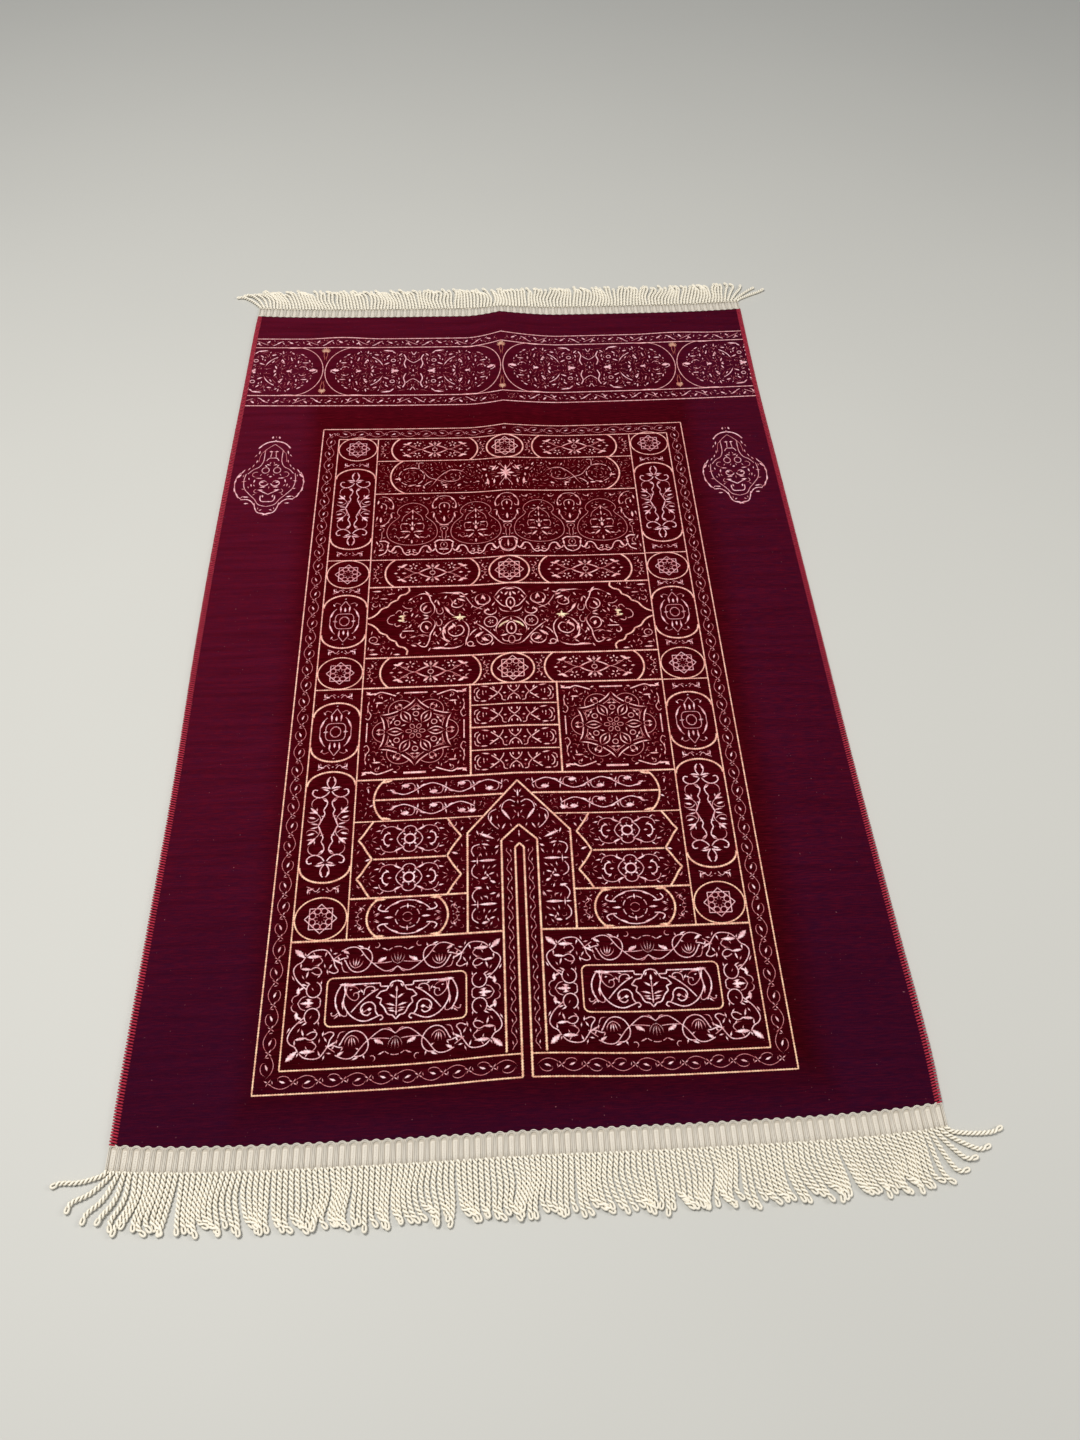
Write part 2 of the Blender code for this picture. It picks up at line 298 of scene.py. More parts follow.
def blend(tree, share, first, second):
    """A colour between two, by a share from 0 to 1."""
    node = add(tree, "Mix", data_type="RGBA")
    for socket, value in zip((node.inputs[0], node.inputs[6], node.inputs[7]), (share, first, second)):
        if isinstance(value, bpy.types.NodeSocket):
            tree.links.new(value, socket)
        else:
            socket.default_value = (*value, 1) if isinstance(value, tuple) else value
    return node.outputs[2]


def start_group(name, inputs, outputs):
    """A node group with these inputs, given with their usual values, and these outputs."""
    tree = bpy.data.node_groups.new(name, "ShaderNodeTree")
    for label, value in inputs.items():
        socket = tree.interface.new_socket(label, in_out="INPUT", socket_type="NodeSocketFloat")
        socket.default_value = value
    for label in outputs:
        tree.interface.new_socket(label, in_out="OUTPUT", socket_type="NodeSocketFloat")
    given = tree.nodes.new("NodeGroupInput").outputs
    found = tree.nodes.new("NodeGroupOutput").inputs
    return tree, given, found


def use_group(tree, group, **values):
    """Places a node group in a material with its own values. Returns its outputs."""
    node = tree.nodes.new("ShaderNodeGroup")
    node.node_tree = group
    for key, value in values.items():
        node.inputs[key].default_value = value
    return node.outputs


print("node helpers ready")

# %% [markdown]
# ## Three effects that the finishes share
# Chenille shows fine streaks along the weft, because each fluffy yarn differs a little from the
# next. Figure yarn shows as short floats, one to each stitch of the loom, so a line of it looks
# beaded. All yarn has a fine grain of fibres. Each effect is a node group that measures in
# millimetres on the rug, so every material shows it at the real scale.

# %% The weft streak group
streaks, given, found = start_group(
    "weft_streaks", {"Long": 30.0, "Pitch": 1.4}, ("Shade", "Rib")
)
place = add(streaks, "TexCoord").outputs["Object"]
apart = add(streaks, "SeparateXYZ", {0: place})
per_long = plain_maths(streaks, "DIVIDE", 1000.0, given["Long"])
per_pitch = plain_maths(streaks, "DIVIDE", 1000.0, given["Pitch"])
stretched = add(
    streaks,
    "CombineXYZ",
    {
        0: plain_maths(streaks, "MULTIPLY", apart.outputs[0], per_long),
        1: plain_maths(streaks, "MULTIPLY", apart.outputs[1], per_pitch),
    },
)
fine = add(streaks, "TexNoise", {"Vector": stretched.outputs[0], "Scale": 1.0, "Detail": 3.0})
streaks.links.new(fine.outputs["Fac"], found["Shade"])
turn = plain_maths(streaks, "MULTIPLY", apart.outputs[1], per_pitch)
wave = plain_maths(streaks, "SINE", plain_maths(streaks, "MULTIPLY", turn, 2 * math.pi))
streaks.links.new(plain_maths(streaks, "MULTIPLY_ADD", wave, 0.5, 0.5), found["Rib"])

# %% The stitch group
stitches, given, found = start_group(
    "stitches", {"Across": 1.5, "Along": 1.1}, ("Float", "Gap")
)
place = add(stitches, "TexCoord").outputs["Object"]
apart = add(stitches, "SeparateXYZ", {0: place})
swell = []
for side, label in ((0, "Across"), (1, "Along")):
    count = plain_maths(
        stitches, "DIVIDE", plain_maths(stitches, "MULTIPLY", apart.outputs[side], 1000.0), given[label]
    )
    sine = plain_maths(stitches, "SINE", plain_maths(stitches, "MULTIPLY", count, math.pi))
    swell.append(plain_maths(stitches, "ABSOLUTE", sine))
bead = maths(stitches, "POWER", maths(stitches, "MULTIPLY", *swell), 0.5)
stitches.links.new(bead, found["Float"])
stitches.links.new(maths(stitches, "MULTIPLY_ADD", bead, -2.6, 1.0), found["Gap"])

# %% The fibre grain group
grain, given, found = start_group("fibre_grain", {"Size": 0.8, "Contrast": 1.0}, ("Grain",))
per_size = plain_maths(grain, "DIVIDE", 1000.0, given["Size"])
spots = add(
    grain,
    "TexNoise",
    {"Vector": add(grain, "TexCoord").outputs["Object"], "Scale": per_size, "Detail": 2.0},
)
centred = plain_maths(grain, "SUBTRACT", spots.outputs["Fac"], 0.5)
grain.links.new(
    maths(grain, "MULTIPLY_ADD", centred, given["Contrast"], 0.5), found["Grain"]
)
print("effects:", [group.name for group in (streaks, stitches, grain)])

# %% [markdown]
# ## Finishes
# Each finish is one Principled shader in its own material. A colour that changes over the
# surface is mixed from the shared effects. Roughness and sheen are plain numbers on the shader.

# %% Start a finish


def start_finish(name, roughness, sheen=0.0):
    """A new material. Returns it with its tree and its Principled shader."""
    material = bpy.data.materials.new(name)
    material.use_nodes = True
    tree = material.node_tree
    shader = tree.nodes["Principled BSDF"]
    shader.inputs["Roughness"].default_value = roughness
    shader.inputs["Sheen Weight"].default_value = sheen
    shader.inputs["Sheen Roughness"].default_value = 0.45
    shader.inputs["Specular IOR Level"].default_value = 0.25
    return material, tree, shader


def finish_with(tree, shader, colour, height, depth, strength=0.6):
    """Feeds a colour, and a height in bump of this depth in metres, to the shader."""
    tree.links.new(colour, shader.inputs["Base Color"])
    bump = add(tree, "Bump", {"Height": height, "Strength": strength, "Distance": depth})
    tree.links.new(bump.outputs[0], shader.inputs["Normal"])


# %% [markdown]
# ### Chenille
# The ground of the rug is a dull wine-red chenille. It is reddest along the middle and turns to
# purple at the sides and both ends; that purple is lifted a little as a painted sheen, which shows
# most at the far end. Painted shade darkens the ground towards the near end and the right. Fine
# weft streaks cross it, with a little pale lint here and there.

# %% The chenille finish
WINE = (0.050, 0.0003, 0.0008)
# The purple is lifted a little in green and blue: a painted sheen, which shows most where it covers the far
# end.
PURPLE_AND_SHEEN = (0.082, 0.0050, 0.0180)
# The two dark colours below are painted shade, for the near end and the right; the dark wine also darkens
# the broad clouds of the pile.
DARK = (0.022, 0.0008, 0.0022)
PAINTED_SHADE_PURPLE = (0.024, 0.0026, 0.0140)
STREAK = (0.135, 0.0036, 0.0095)
LINT = (0.42, 0.16, 0.18)
LINT_SCALE = 420.0

chenille, tree, shader = start_finish("burgundy_chenille", 0.95)
shader.inputs["Specular IOR Level"].default_value = 0.0
place = add(tree, "SeparateXYZ", {0: add(tree, "TexCoord").outputs["Object"]})
off_middle = plain_maths(tree, "ABSOLUTE", place.outputs[0])


def ramp(tree, value, start, stop):
    """0 where a value is at start and 1 where it is at stop, with soft ends."""
    sockets = {0: value, 1: start, 2: stop, 3: 0.0, 4: 1.0}
    return add(tree, "MapRange", sockets, interpolation_type="SMOOTHSTEP").outputs[0]


to_side = ramp(tree, off_middle, 0.225, 0.27)
# The far end turns to that paler purple: partly a painted sheen.
to_far_purple_and_sheen = ramp(tree, place.outputs[1], 0.24, 0.60)
to_near = ramp(tree, place.outputs[1], -0.50, -0.58)
to_purple_and_sheen = maths(tree, "MAXIMUM", to_side, maths(tree, "MAXIMUM", to_far_purple_and_sheen, to_near))
ground = blend(tree, to_purple_and_sheen, WINE, PURPLE_AND_SHEEN)
# Painted shade: the ground is darkened towards the near end and towards the right.
painted_shade_near = ramp(tree, place.outputs[1], 0.45, -0.80)
painted_shade_right = ramp(tree, place.outputs[0], -0.50, 0.75)
painted_shade = blend(tree, to_purple_and_sheen, DARK, PAINTED_SHADE_PURPLE)
ground = blend(tree, maths(tree, "MULTIPLY", painted_shade_near, 0.8), ground, painted_shade)
ground = blend(tree, maths(tree, "MULTIPLY", painted_shade_right, 0.8), ground, painted_shade)
weft = use_group(tree, streaks, Long=13.0, Pitch=1.3)
broad = use_group(tree, streaks, Long=110.0, Pitch=7.0)
spots = use_group(tree, grain, Size=1.3, Contrast=2.2)["Grain"]
streaked = maths(tree, "MULTIPLY_ADD", weft["Shade"], 3.2, -1.25)
ground = blend(tree, maths(tree, "MULTIPLY", streaked, 0.5), ground, STREAK)
cloudy = maths(tree, "MULTIPLY_ADD", broad["Shade"], 2.4, -0.9)
ground = blend(tree, maths(tree, "MULTIPLY", cloudy, 0.45), ground, DARK)
# More painted shade at the near end, laid over the streaks.
painted_shade_near_end = ramp(tree, place.outputs[1], -0.22, -0.55)
ground = blend(tree, maths(tree, "MULTIPLY", painted_shade_near_end, 0.5), ground, painted_shade)
here = add(tree, "TexCoord").outputs["Object"]
lint_spots = add(tree, "TexNoise", {"Vector": here, "Scale": LINT_SCALE, "Detail": 1.0}).outputs["Fac"]
lint = maths(tree, "MULTIPLY_ADD", lint_spots, 14.0, -10.9)
ground = blend(tree, maths(tree, "MULTIPLY", lint, 0.55), ground, LINT)
pile = plain_maths(tree, "ADD", plain_maths(tree, "MULTIPLY", weft["Rib"], 0.55), spots)
finish_with(tree, shader, ground, pile, 0.45 * MM, 0.8)

# %% [markdown]
# ### Yarns
# The figure yarns are shinier than the pile. Each has the stitch effect, so that its lines break
# into floats, and a slow change of colour: warm at the near end, and pinker towards the far end.
# The rows across the middle have a blush yarn, between the gold and the pale one. Only the far
# palmettes' dim gilt and the middle knots' bright gold keep one colour. The edging yarn and the
# cottons have the fibre grain; the cords also take painted shade in their grooves and on their
# undersides, and the heading's band is a darker cream, as painted shade.

# %% The yarn finishes
SUNK_RED = (0.40, 0.012, 0.020)
GILT, KNOT_GOLD = (0.60, 0.40, 0.27), (1.0, 0.90, 0.58)


def figure_yarn(name, near, far, across, along):
    """A finish of woven-in yarn whose colour changes from the near to the far end."""
    material, tree, shader = start_finish(name, 0.5, 0.05)
    place = add(tree, "SeparateXYZ", {0: add(tree, "TexCoord").outputs["Object"]})
    share = add(tree, "MapRange", {0: place.outputs[1], 1: -0.50, 2: 0.10, 3: 0.0, 4: 1.0}).outputs[0]
    colour = blend(tree, share, near, far)
    floats = use_group(tree, stitches, Across=across, Along=along)
    sunk = add(tree, "Attribute", attribute_name="hollow").outputs["Fac"]
    colour = blend(tree, maths(tree, "POWER", sunk, 1.6), colour, SUNK_RED)
    worn = use_group(tree, grain, Size=4.0, Contrast=6.0)["Grain"]
    colour = blend(tree, maths(tree, "MULTIPLY", worn, 0.45), colour, SUNK_RED)
    colour = blend(tree, maths(tree, "MULTIPLY", floats["Gap"], 0.25), colour, WINE)
    finish_with(tree, shader, colour, floats["Float"], 0.15 * MM)
    return material


def plain_yarn(name, colour, darker_fibres, roughness, sheen, size):
    """A finish of twisted yarn: a colour and its darker fibres, with painted shade where the cords' grooves
    and undersides are marked.
    """
    material, tree, shader = start_finish(name, roughness, sheen)
    fine = use_group(tree, grain, Size=size, Contrast=2.0)["Grain"]
    slow = use_group(tree, grain, Size=size * 18, Contrast=1.6)["Grain"]
    mixed = blend(tree, maths(tree, "MULTIPLY", fine, 0.5), colour, darker_fibres)
    mixed = blend(tree, maths(tree, "MULTIPLY", slow, 0.35), mixed, darker_fibres)
    hollow = add(tree, "Attribute", attribute_name="hollow").outputs["Fac"]
    # deep is painted shade: a dark brown for the cords' grooves and undersides.
    deep = tuple(0.55 * part * part**0.3 for part in darker_fibres)
    mixed = blend(tree, maths(tree, "MULTIPLY", hollow, 0.9), mixed, deep)
    finish_with(tree, shader, mixed, fine, 0.12 * MM)
    return material


gold_yarn = figure_yarn("gold_yarn", (1.0, 0.68, 0.43), (1.0, 0.57, 0.50), 1.6, 1.6)
gilt_yarn = figure_yarn("gilt_yarn", GILT, GILT, 1.6, 1.6)
knot_yarn = figure_yarn("knot_yarn", KNOT_GOLD, KNOT_GOLD, 1.6, 1.6)
pale_yarn = figure_yarn("pale_yarn", (1.0, 0.77, 0.80), (1.0, 0.64, 0.70), 1.3, 1.0)
blush_yarn = figure_yarn("blush_yarn", (1.0, 0.66, 0.63), (1.0, 0.59, 0.59), 1.3, 1.0)
edging_yarn = plain_yarn("crimson_edging", (0.52, 0.020, 0.055), (0.20, 0.006, 0.020), 0.6, 0.1, 0.5)
fringe_cotton = plain_yarn("cream_fringe", (1.0, 0.95, 0.83), (0.95, 0.87, 0.70), 0.75, 0.1, 0.35)
heading_cotton = plain_yarn("cream_heading", (0.76, 0.71, 0.62), (0.62, 0.56, 0.47), 0.7, 0.1, 0.35)
# The band is a darker cream than the arches: painted shade for the gaps between the arch cords, where the
# band shows.
band_cotton_painted_shade = plain_yarn("cream_band_painted_shade", (0.60, 0.54, 0.45), (0.47, 0.41, 0.33), 0.8, 0.05, 0.35)
finishes = (
    chenille, gold_yarn, gilt_yarn, knot_yarn, pale_yarn, blush_yarn, edging_yarn, fringe_cotton,
    heading_cotton, band_cotton_painted_shade,
)
print("finishes:", ", ".join(finish.name for finish in finishes))

# %% [markdown]
# ## The floor
# A plane that reaches well past the camera's view. Its mottle is faint, so that it stays plain.

# %% Lay the floor
FLOOR_HALF = 6.0
FLOOR_DROP = 0.1 * MM
FLOOR_PALE, FLOOR_PALER = (0.535, 0.53, 0.495), (0.565, 0.56, 0.52)

paint, tree, shader = start_finish("pale_floor", 0.55)
cloud = use_group(tree, grain, Size=420.0, Contrast=0.8)["Grain"]
tree.links.new(blend(tree, cloud, FLOOR_PALE, FLOOR_PALER), shader.inputs["Base Color"])
data = bpy.data.meshes.new("floor")
corners = [(x * FLOOR_HALF, y * FLOOR_HALF, -FLOOR_DROP) for x, y in ((-1, -1), (1, -1), (1, 1), (-1, 1))]
data.from_pydata(corners, [], [(0, 1, 2, 3)])
data.materials.append(paint)
floor = bpy.data.objects.new("floor", data)
bpy.context.scene.collection.objects.link(floor)
print("floor", 2 * FLOOR_HALF, "m wide")

# %% [markdown]
# ## The woven cloth
# The ground is one closed sheet, three millimetres thick. A grid with a modifier such as
# Solidify would do on a flat rug, but the crease is a sharp ridge, so the columns are placed
# with one exactly on it and the top and the underside are laid by the same function.

# %% Weave the cloth
CLOTH_THICK = 3.0 * MM
CLOTH_HALF = HALF_WIDTH - 2.5 * MM
CLOTH_STEP = 6.0 * MM

left_columns = np.linspace(-CLOTH_HALF, CREASE_X, round((CLOTH_HALF + CREASE_X) / CLOTH_STEP) + 1)
right_columns = np.linspace(CREASE_X, CLOTH_HALF, round((CLOTH_HALF - CREASE_X) / CLOTH_STEP) + 1)
columns = np.concatenate([left_columns, right_columns[1:]])
rows = np.linspace(-HALF_LENGTH, HALF_LENGTH, round(RUG_LENGTH / CLOTH_STEP) + 1)
x, y = (grid.ravel() for grid in np.meshgrid(columns, rows))
top = lay(np.stack([x, y, np.full(len(x), CLOTH_THICK)], 1))
under = lay(np.stack([x, y, np.zeros(len(x))], 1))
across, along, every = len(columns), len(rows), len(x)
first = (np.arange(along - 1)[:, None] * across + np.arange(across - 1)[None]).ravel()
top_faces = np.stack([first, first + 1, first + across + 1, first + across], 1)
rim = list(range(across)) + [k * across + across - 1 for k in range(1, along)]
rim += list(range(every - 2, every - across - 1, -1)) + [k * across for k in range(along - 2, 0, -1)]
rim_faces = [(there, there + every, here + every, here) for here, there in zip(rim, rim[1:] + rim[:1])]
skin = np.concatenate([top, under])
skin_faces = top_faces.tolist() + (top_faces[:, ::-1] + every).tolist() + rim_faces
cloth = make_piece("woven_cloth", skin, skin_faces, chenille, ["rug_cloth"])

# %% [markdown]
# ## The overcast edging
# Each long side is bound with crimson yarn, wrapped over the edge in slanting turns. A bevelled
# curve with a twist texture would look right from far off. Real turns, one short tube each,
# also give the edge its ribbed outline, so the yarn is laid turn by turn.

# %% Overcast the long sides
WRAP_PITCH = 2.8 * MM
WRAP_SLANT = 1.9 * MM
WRAP_RADIUS = 0.78 * MM
# How far in from the rug's edge, and how high, one turn of yarn runs, in millimetres
WRAP_PATH = (
    (6.4, 2.7), (5.7, 3.3), (4.6, 3.8), (3.0, 4.0), (1.5, 3.8), (0.7, 3.1), (0.45, 2.2), (0.8, 1.2),
    (2.0, 0.8),
)


def overcast(name, side, node):
    """The turns of yarn over one long side of the rug."""
    inwards, heights = np.array(WRAP_PATH).T * MM
    onwards = np.linspace(0, WRAP_SLANT, len(WRAP_PATH))
    parts = []
    for number in range(int(RUG_LENGTH / WRAP_PITCH)):
        start = -HALF_LENGTH + WRAP_PITCH * number + 0.3 * MM
        tight = 1 + 0.09 * math.sin(number * 2.3) + 0.06 * math.sin(number * 0.71)
        flat = np.stack([side * (HALF_WIDTH - inwards), start + onwards * tight, heights], 1)
        parts.append(tube(lay(flat), WRAP_RADIUS * tight))
    points, faces = gather(parts)
    return make_piece(name, points, faces, edging_yarn, [node])


overcast_left = overcast("overcast_left", -1, "edging_left")
overcast_right = overcast("overcast_right", 1, "edging_right")

# %% [markdown]
# ## The fringe
# A bullion fringe is sewn over each end. Its heading is a narrow band covered with arches of
# thin cord, and a column of chain stitches runs down inside each arch. Two thick cords hang
# from each arch. Hair particles could scatter the cords quickly, but each one here has to hang
# from its own place, part into the same locks as in the photograph, and end in a small loop.

# %% Where the cords hang
CORD_COUNT = 150
CORDS_AN_ARCH = 2
CORD_PITCH = RUG_WIDTH / CORD_COUNT
CORD_BEND = 0.4
CORD_LENGTH_WAVES = ((2.4 * MM, 1.7), (1.5 * MM, 4.1))
SEAM_GAP = 0.3 * MM

# Columns: where the cords part into locks, and how wide the opening is at the tips, in mm
NEAR_PARTINGS = (
    (-318, 3.0), (-289, 9.0), (-240, 3.0), (-213, 4.0), (-168, 4.0), (-150, 4.0), (-118, 2.5),
    (-66, 5.0), (-20, 3.0), (31, 4.0), (96, 3.0), (146, 4.0), (168, 5.0), (207, 4.0), (250, 7.0),
    (301, 2.0), (333, 2.5),
)
FAR_PARTINGS = (
    (-301, 4.0), (-236, 3.0), (-190, 4.0), (-121, 3.0), (-70, 5.0), (-12, 7.0), (36, 4.0),
    (101, 3.0), (161, 3.0), (215, 4.0), (262, 4.0), (306, 3.0),
)
# Columns: a place along the rug's end, and how far the tips there lean sideways, in mm
NEAR_LEANS = ((-350, -10), (-300, -3), (-240, 1), (0, 0), (160, 1), (230, 8), (270, 10), (350, 10))
FAR_LEANS = ((-350, -18), (-200, -10), (0, 0), (200, 8), (350, 12))
# How far the corner cords stray outwards, the outermost first, in degrees
NEAR_STRAYS = {-1: (62, 40, 23, 12, 5), 1: (60, 40, 25, 12, 5)}
FAR_STRAYS = {-1: (32, 20, 11, 5, 2), 1: (50, 34, 20, 10, 4)}


def tip_lean(root, partings, leans, strays, number):
    """How far a cord turns sideways by its tip, and how far it strays all along, in radians."""
    shift = np.interp(root / MM, *np.array(leans).T)
    stops = [(-350, 0.0), *partings, (350, 0.0)]
    for (start, opening), (stop, next_opening) in zip(stops, stops[1:]):
        if start <= root / MM < stop:
            share = (root / MM - start) / (stop - start)
            shift += opening / 2 * (1 - share) - next_opening / 2 * share
    stray = 0.0
    for side, place in ((-1, number), (1, CORD_COUNT - 1 - number)):
        if place < len(strays[side]):
            stray = side * math.radians(strays[side][place])
    return math.atan2(shift * MM, SKIRT_DEEP), stray


print(CORD_COUNT, "cords at each end, every", round(CORD_PITCH / MM, 2), "mm")

# %% [markdown]
# ### One cord
# A cord is one yarn, folded in half and twisted: its two plies wind round each other, and the
# fold is the loop at its tip. So one tube runs down along the first ply, round the loop, and
# back up along the second.

# %% Twist the cords
PLY_RADIUS = 1.06 * MM
TWIST_RADIUS = 1.24 * MM
TWIST_PITCH = 7.8 * MM
STEPS_A_TURN = 7
EYE_LONG = 4.2 * MM
EYE_RADIUS = 1.45 * MM
# How much of its length a cord takes to leave the heading, to curl at its tip and to start swaying
SETTLE_LONG, CURL_LONG, SWAY_LONG = 9 * MM, 11 * MM, 12 * MM
# In degrees: how far a tip curls, how that waxes and wanes along the end, and how far by chance
TIP_CURL, TIP_CURL_WAVE, TIP_CURL_CHANCE = 28, 22, 26
# In degrees: how far a cord sways, and how that waxes and wanes along the end
SWAY, SWAY_WAVE = 9, 8
RAISED_MOST = 1.5 * MM

chance = np.random.default_rng(7)


def cord_axis(root, length, lean, stray, curl, sway):
    """The flat line that a cord follows, as across and beyond, and its sideways directions."""
    count = round(length / TWIST_PITCH * STEPS_A_TURN)
    run = np.linspace(0, length, count + 1)
    turned = lean * (1 + CORD_BEND) * (run / SKIRT_DEEP) ** CORD_BEND
    turned += stray * (0.35 + 0.65 * np.clip(run / SETTLE_LONG, 0, 1)) * 1.08
    turned += curl * np.clip(1 - (length - run) / CURL_LONG, 0, 1) ** 1.5
    turned += sway[0] * np.sin(run / sway[1] + sway[2]) * np.clip(run / SWAY_LONG, 0, 1)
    step = length / count
    across = root + np.concatenate([[0], np.cumsum(np.sin((turned[1:] + turned[:-1]) / 2))]) * step
    beyond = np.concatenate([[0], np.cumsum(np.cos((turned[1:] + turned[:-1]) / 2))]) * step
    ahead = np.stack([np.sin(turned), np.cos(turned)], 1)
    return run, np.stack([across, beyond], 1), ahead


def twist_cord(root, length, lean, stray, curl, sway, raised, end):
    """A cord's tube: down one ply, round its loop and up the other ply."""
    run, line, ahead = cord_axis(root, length - EYE_LONG, lean, stray, curl, sway)
    side = np.stack([ahead[:, 1], -ahead[:, 0]], 1)
    turn = (run - run[-1]) / TWIST_PITCH * 2 * math.pi
    settle = np.clip(run / SETTLE_LONG, 0, 1)
    middle = PLY_RADIUS + TWIST_RADIUS * (0.55 + 0.45 * settle) + 0.35 * MM * (1 - settle)
    middle = middle + raised * np.clip(run / length, 0, 1) ** 2
    plies = []
    for way in (1, -1):
        swing = TWIST_RADIUS * np.cos(turn) * way
        rise = TWIST_RADIUS * np.sin(turn) * way * end
        flat = line + side * swing[:, None]
        plies.append(np.column_stack([flat, middle + rise]))
    share = np.array([0.22, 0.45, 0.7, 0.88])
    wide = np.where(
        share < 0.5,
        TWIST_RADIUS + (EYE_RADIUS - TWIST_RADIUS) * share / 0.5,
        EYE_RADIUS * np.sqrt(np.maximum(0, 1 - ((share - 0.5) / 0.5) ** 2)),
    )
    out = line[-1] + ahead[-1] * (EYE_LONG * share)[:, None]
    high = middle[-1]
    right = np.column_stack([out + side[-1] * wide[:, None], np.full(4, high)])
    left = np.column_stack([out - side[-1] * wide[:, None], np.full(4, high)])
    tip = np.append(line[-1] + ahead[-1] * EYE_LONG, high)[None]
    path = np.concatenate([plies[0], right, tip, left[::-1], plies[1][::-1]])
    centre = np.column_stack([line, middle])
    centres = np.concatenate([centre, right, tip, left[::-1], centre[::-1]])
    edge = HALF_LENGTH + SEAM_GAP + HEADING_DEEP - 1.0 * MM
    path, centres = (
        lay(np.column_stack([some[:, 0], end * (edge + some[:, 1]), some[:, 2]])) for some in (path, centres)
    )
    points, faces = tube(path, PLY_RADIUS)
    # The third result is painted shade for each point: darker where a ply faces the other ply in the groove,
    # and where it faces down towards the floor.
    spokes = points.reshape(len(path), TUBE_SIDES, 3) - path[:, None]
    inwards = np.einsum("nsk,nk->ns", spokes, centres - path) / (PLY_RADIUS * TWIST_RADIUS)
    down = -spokes[:, :, 2] / PLY_RADIUS
    return points, faces, np.clip(np.maximum(inwards * 0.9 + 0.25, down * 0.7 + 0.1), 0, 1).ravel()


def hang_cords(name, end, partings, leans, strays, node):
    """All the cords of one end."""
    parts, hollows = [], []
    for number in range(CORD_COUNT):
        root = -HALF_WIDTH + CORD_PITCH * (number + 0.5)
        length = SKIRT_DEEP + sum(high * math.sin(rate * number) for high, rate in CORD_LENGTH_WAVES)
        lean, stray = tip_lean(root, partings, leans, strays, number)
        curl = TIP_CURL + TIP_CURL_WAVE * math.sin(number * 0.83)
        curl = math.radians(curl + chance.uniform(-TIP_CURL_CHANCE, TIP_CURL_CHANCE)) * -end
        sway = (math.radians(SWAY + SWAY_WAVE * math.sin(number * 0.37)), 9 * MM, number * 0.19)
        raised = chance.uniform(0, 1.0) * (number % 2) * RAISED_MOST
        points, faces, deep = twist_cord(root, length, lean, stray, curl, sway, raised, end)
        parts.append((points, faces))
        hollows.append(deep)
    points, faces = gather(parts)
    return make_piece(name, points, faces, fringe_cotton, [node], np.concatenate(hollows))


near_cords = hang_cords("near_cords", -1, NEAR_PARTINGS, NEAR_LEANS, NEAR_STRAYS, "fringe_near")
far_cords = hang_cords("far_cords", 1, FAR_PARTINGS, FAR_LEANS, FAR_STRAYS, "fringe_far")

# %% [markdown]
# ### The heading
# The arches are drawn flat, as two legs and a half circle, and their tops climb over the
# cloth's edge. A thin band lies under them and carries the chain stitches.

# %% Sew the headings
ARCH_COUNT = CORD_COUNT // CORDS_AN_ARCH
ARCH_PITCH = RUG_WIDTH / ARCH_COUNT
ARCH_CENTRE = 3.1 * MM
# Columns: how far each arch cord stands from the middle of its arch, and its radius, in mm
ARCH_CORDS = ((4.24, 0.46), (3.16, 0.42))
PANEL_HALF = 2.3 * MM
PANEL_HIGH = 1.7 * MM
BAND_HIGH = 1.3 * MM
CHAIN_PITCH = 2.05 * MM
CHAIN_COUNT = 7
CHAIN_HALF = 0.8 * MM
CHAIN_SWAY = 0.35 * MM
CHAIN_RADII = np.array([0.25, 0.62, 0.25]) * MM
# How high the arch cords lie, how much they climb to the cloth, and where that climb starts and ends
ARCH_HIGH, ARCH_CLIMB = 1.85 * MM, 1.8 * MM
CLIMB_START, CLIMB_LONG = 3.4 * MM, 3.0 * MM


def heading_height(inwards):
    """How high the arch cords lie at this distance from the cloth's end, in metres."""
    share = np.clip((CLIMB_START - inwards) / CLIMB_LONG, 0, 1)
    return ARCH_HIGH + ARCH_CLIMB * share * share * (3 - 2 * share)


def arch_panel(middle, deep, end):
    """The raised panel inside an arch: four levels of a low trapezium, closed all round."""
    levels = (deep, deep * 0.6, ARCH_CENTRE - 0.6 * MM, ARCH_CENTRE - 2.2 * MM)
    section = [(-1, 1.0 * MM), (-0.7, PANEL_HIGH), (0.7, PANEL_HIGH), (1, 1.0 * MM)]
    places = [
        (middle + share * PANEL_HALF, end * (HALF_LENGTH + away), high)
        for away in levels
        for share, high in section
    ]
    faces = [(k + c, k + c + 1, k + c + 5, k + c + 4) for k in (0, 4, 8) for c in (0, 1, 2)]
    faces += [(k, k + 4, k + 7, k + 3) for k in (0, 4, 8)] + [(3, 2, 1, 0), (12, 13, 14, 15)]
    return lay(places), [face[::end] for face in faces]


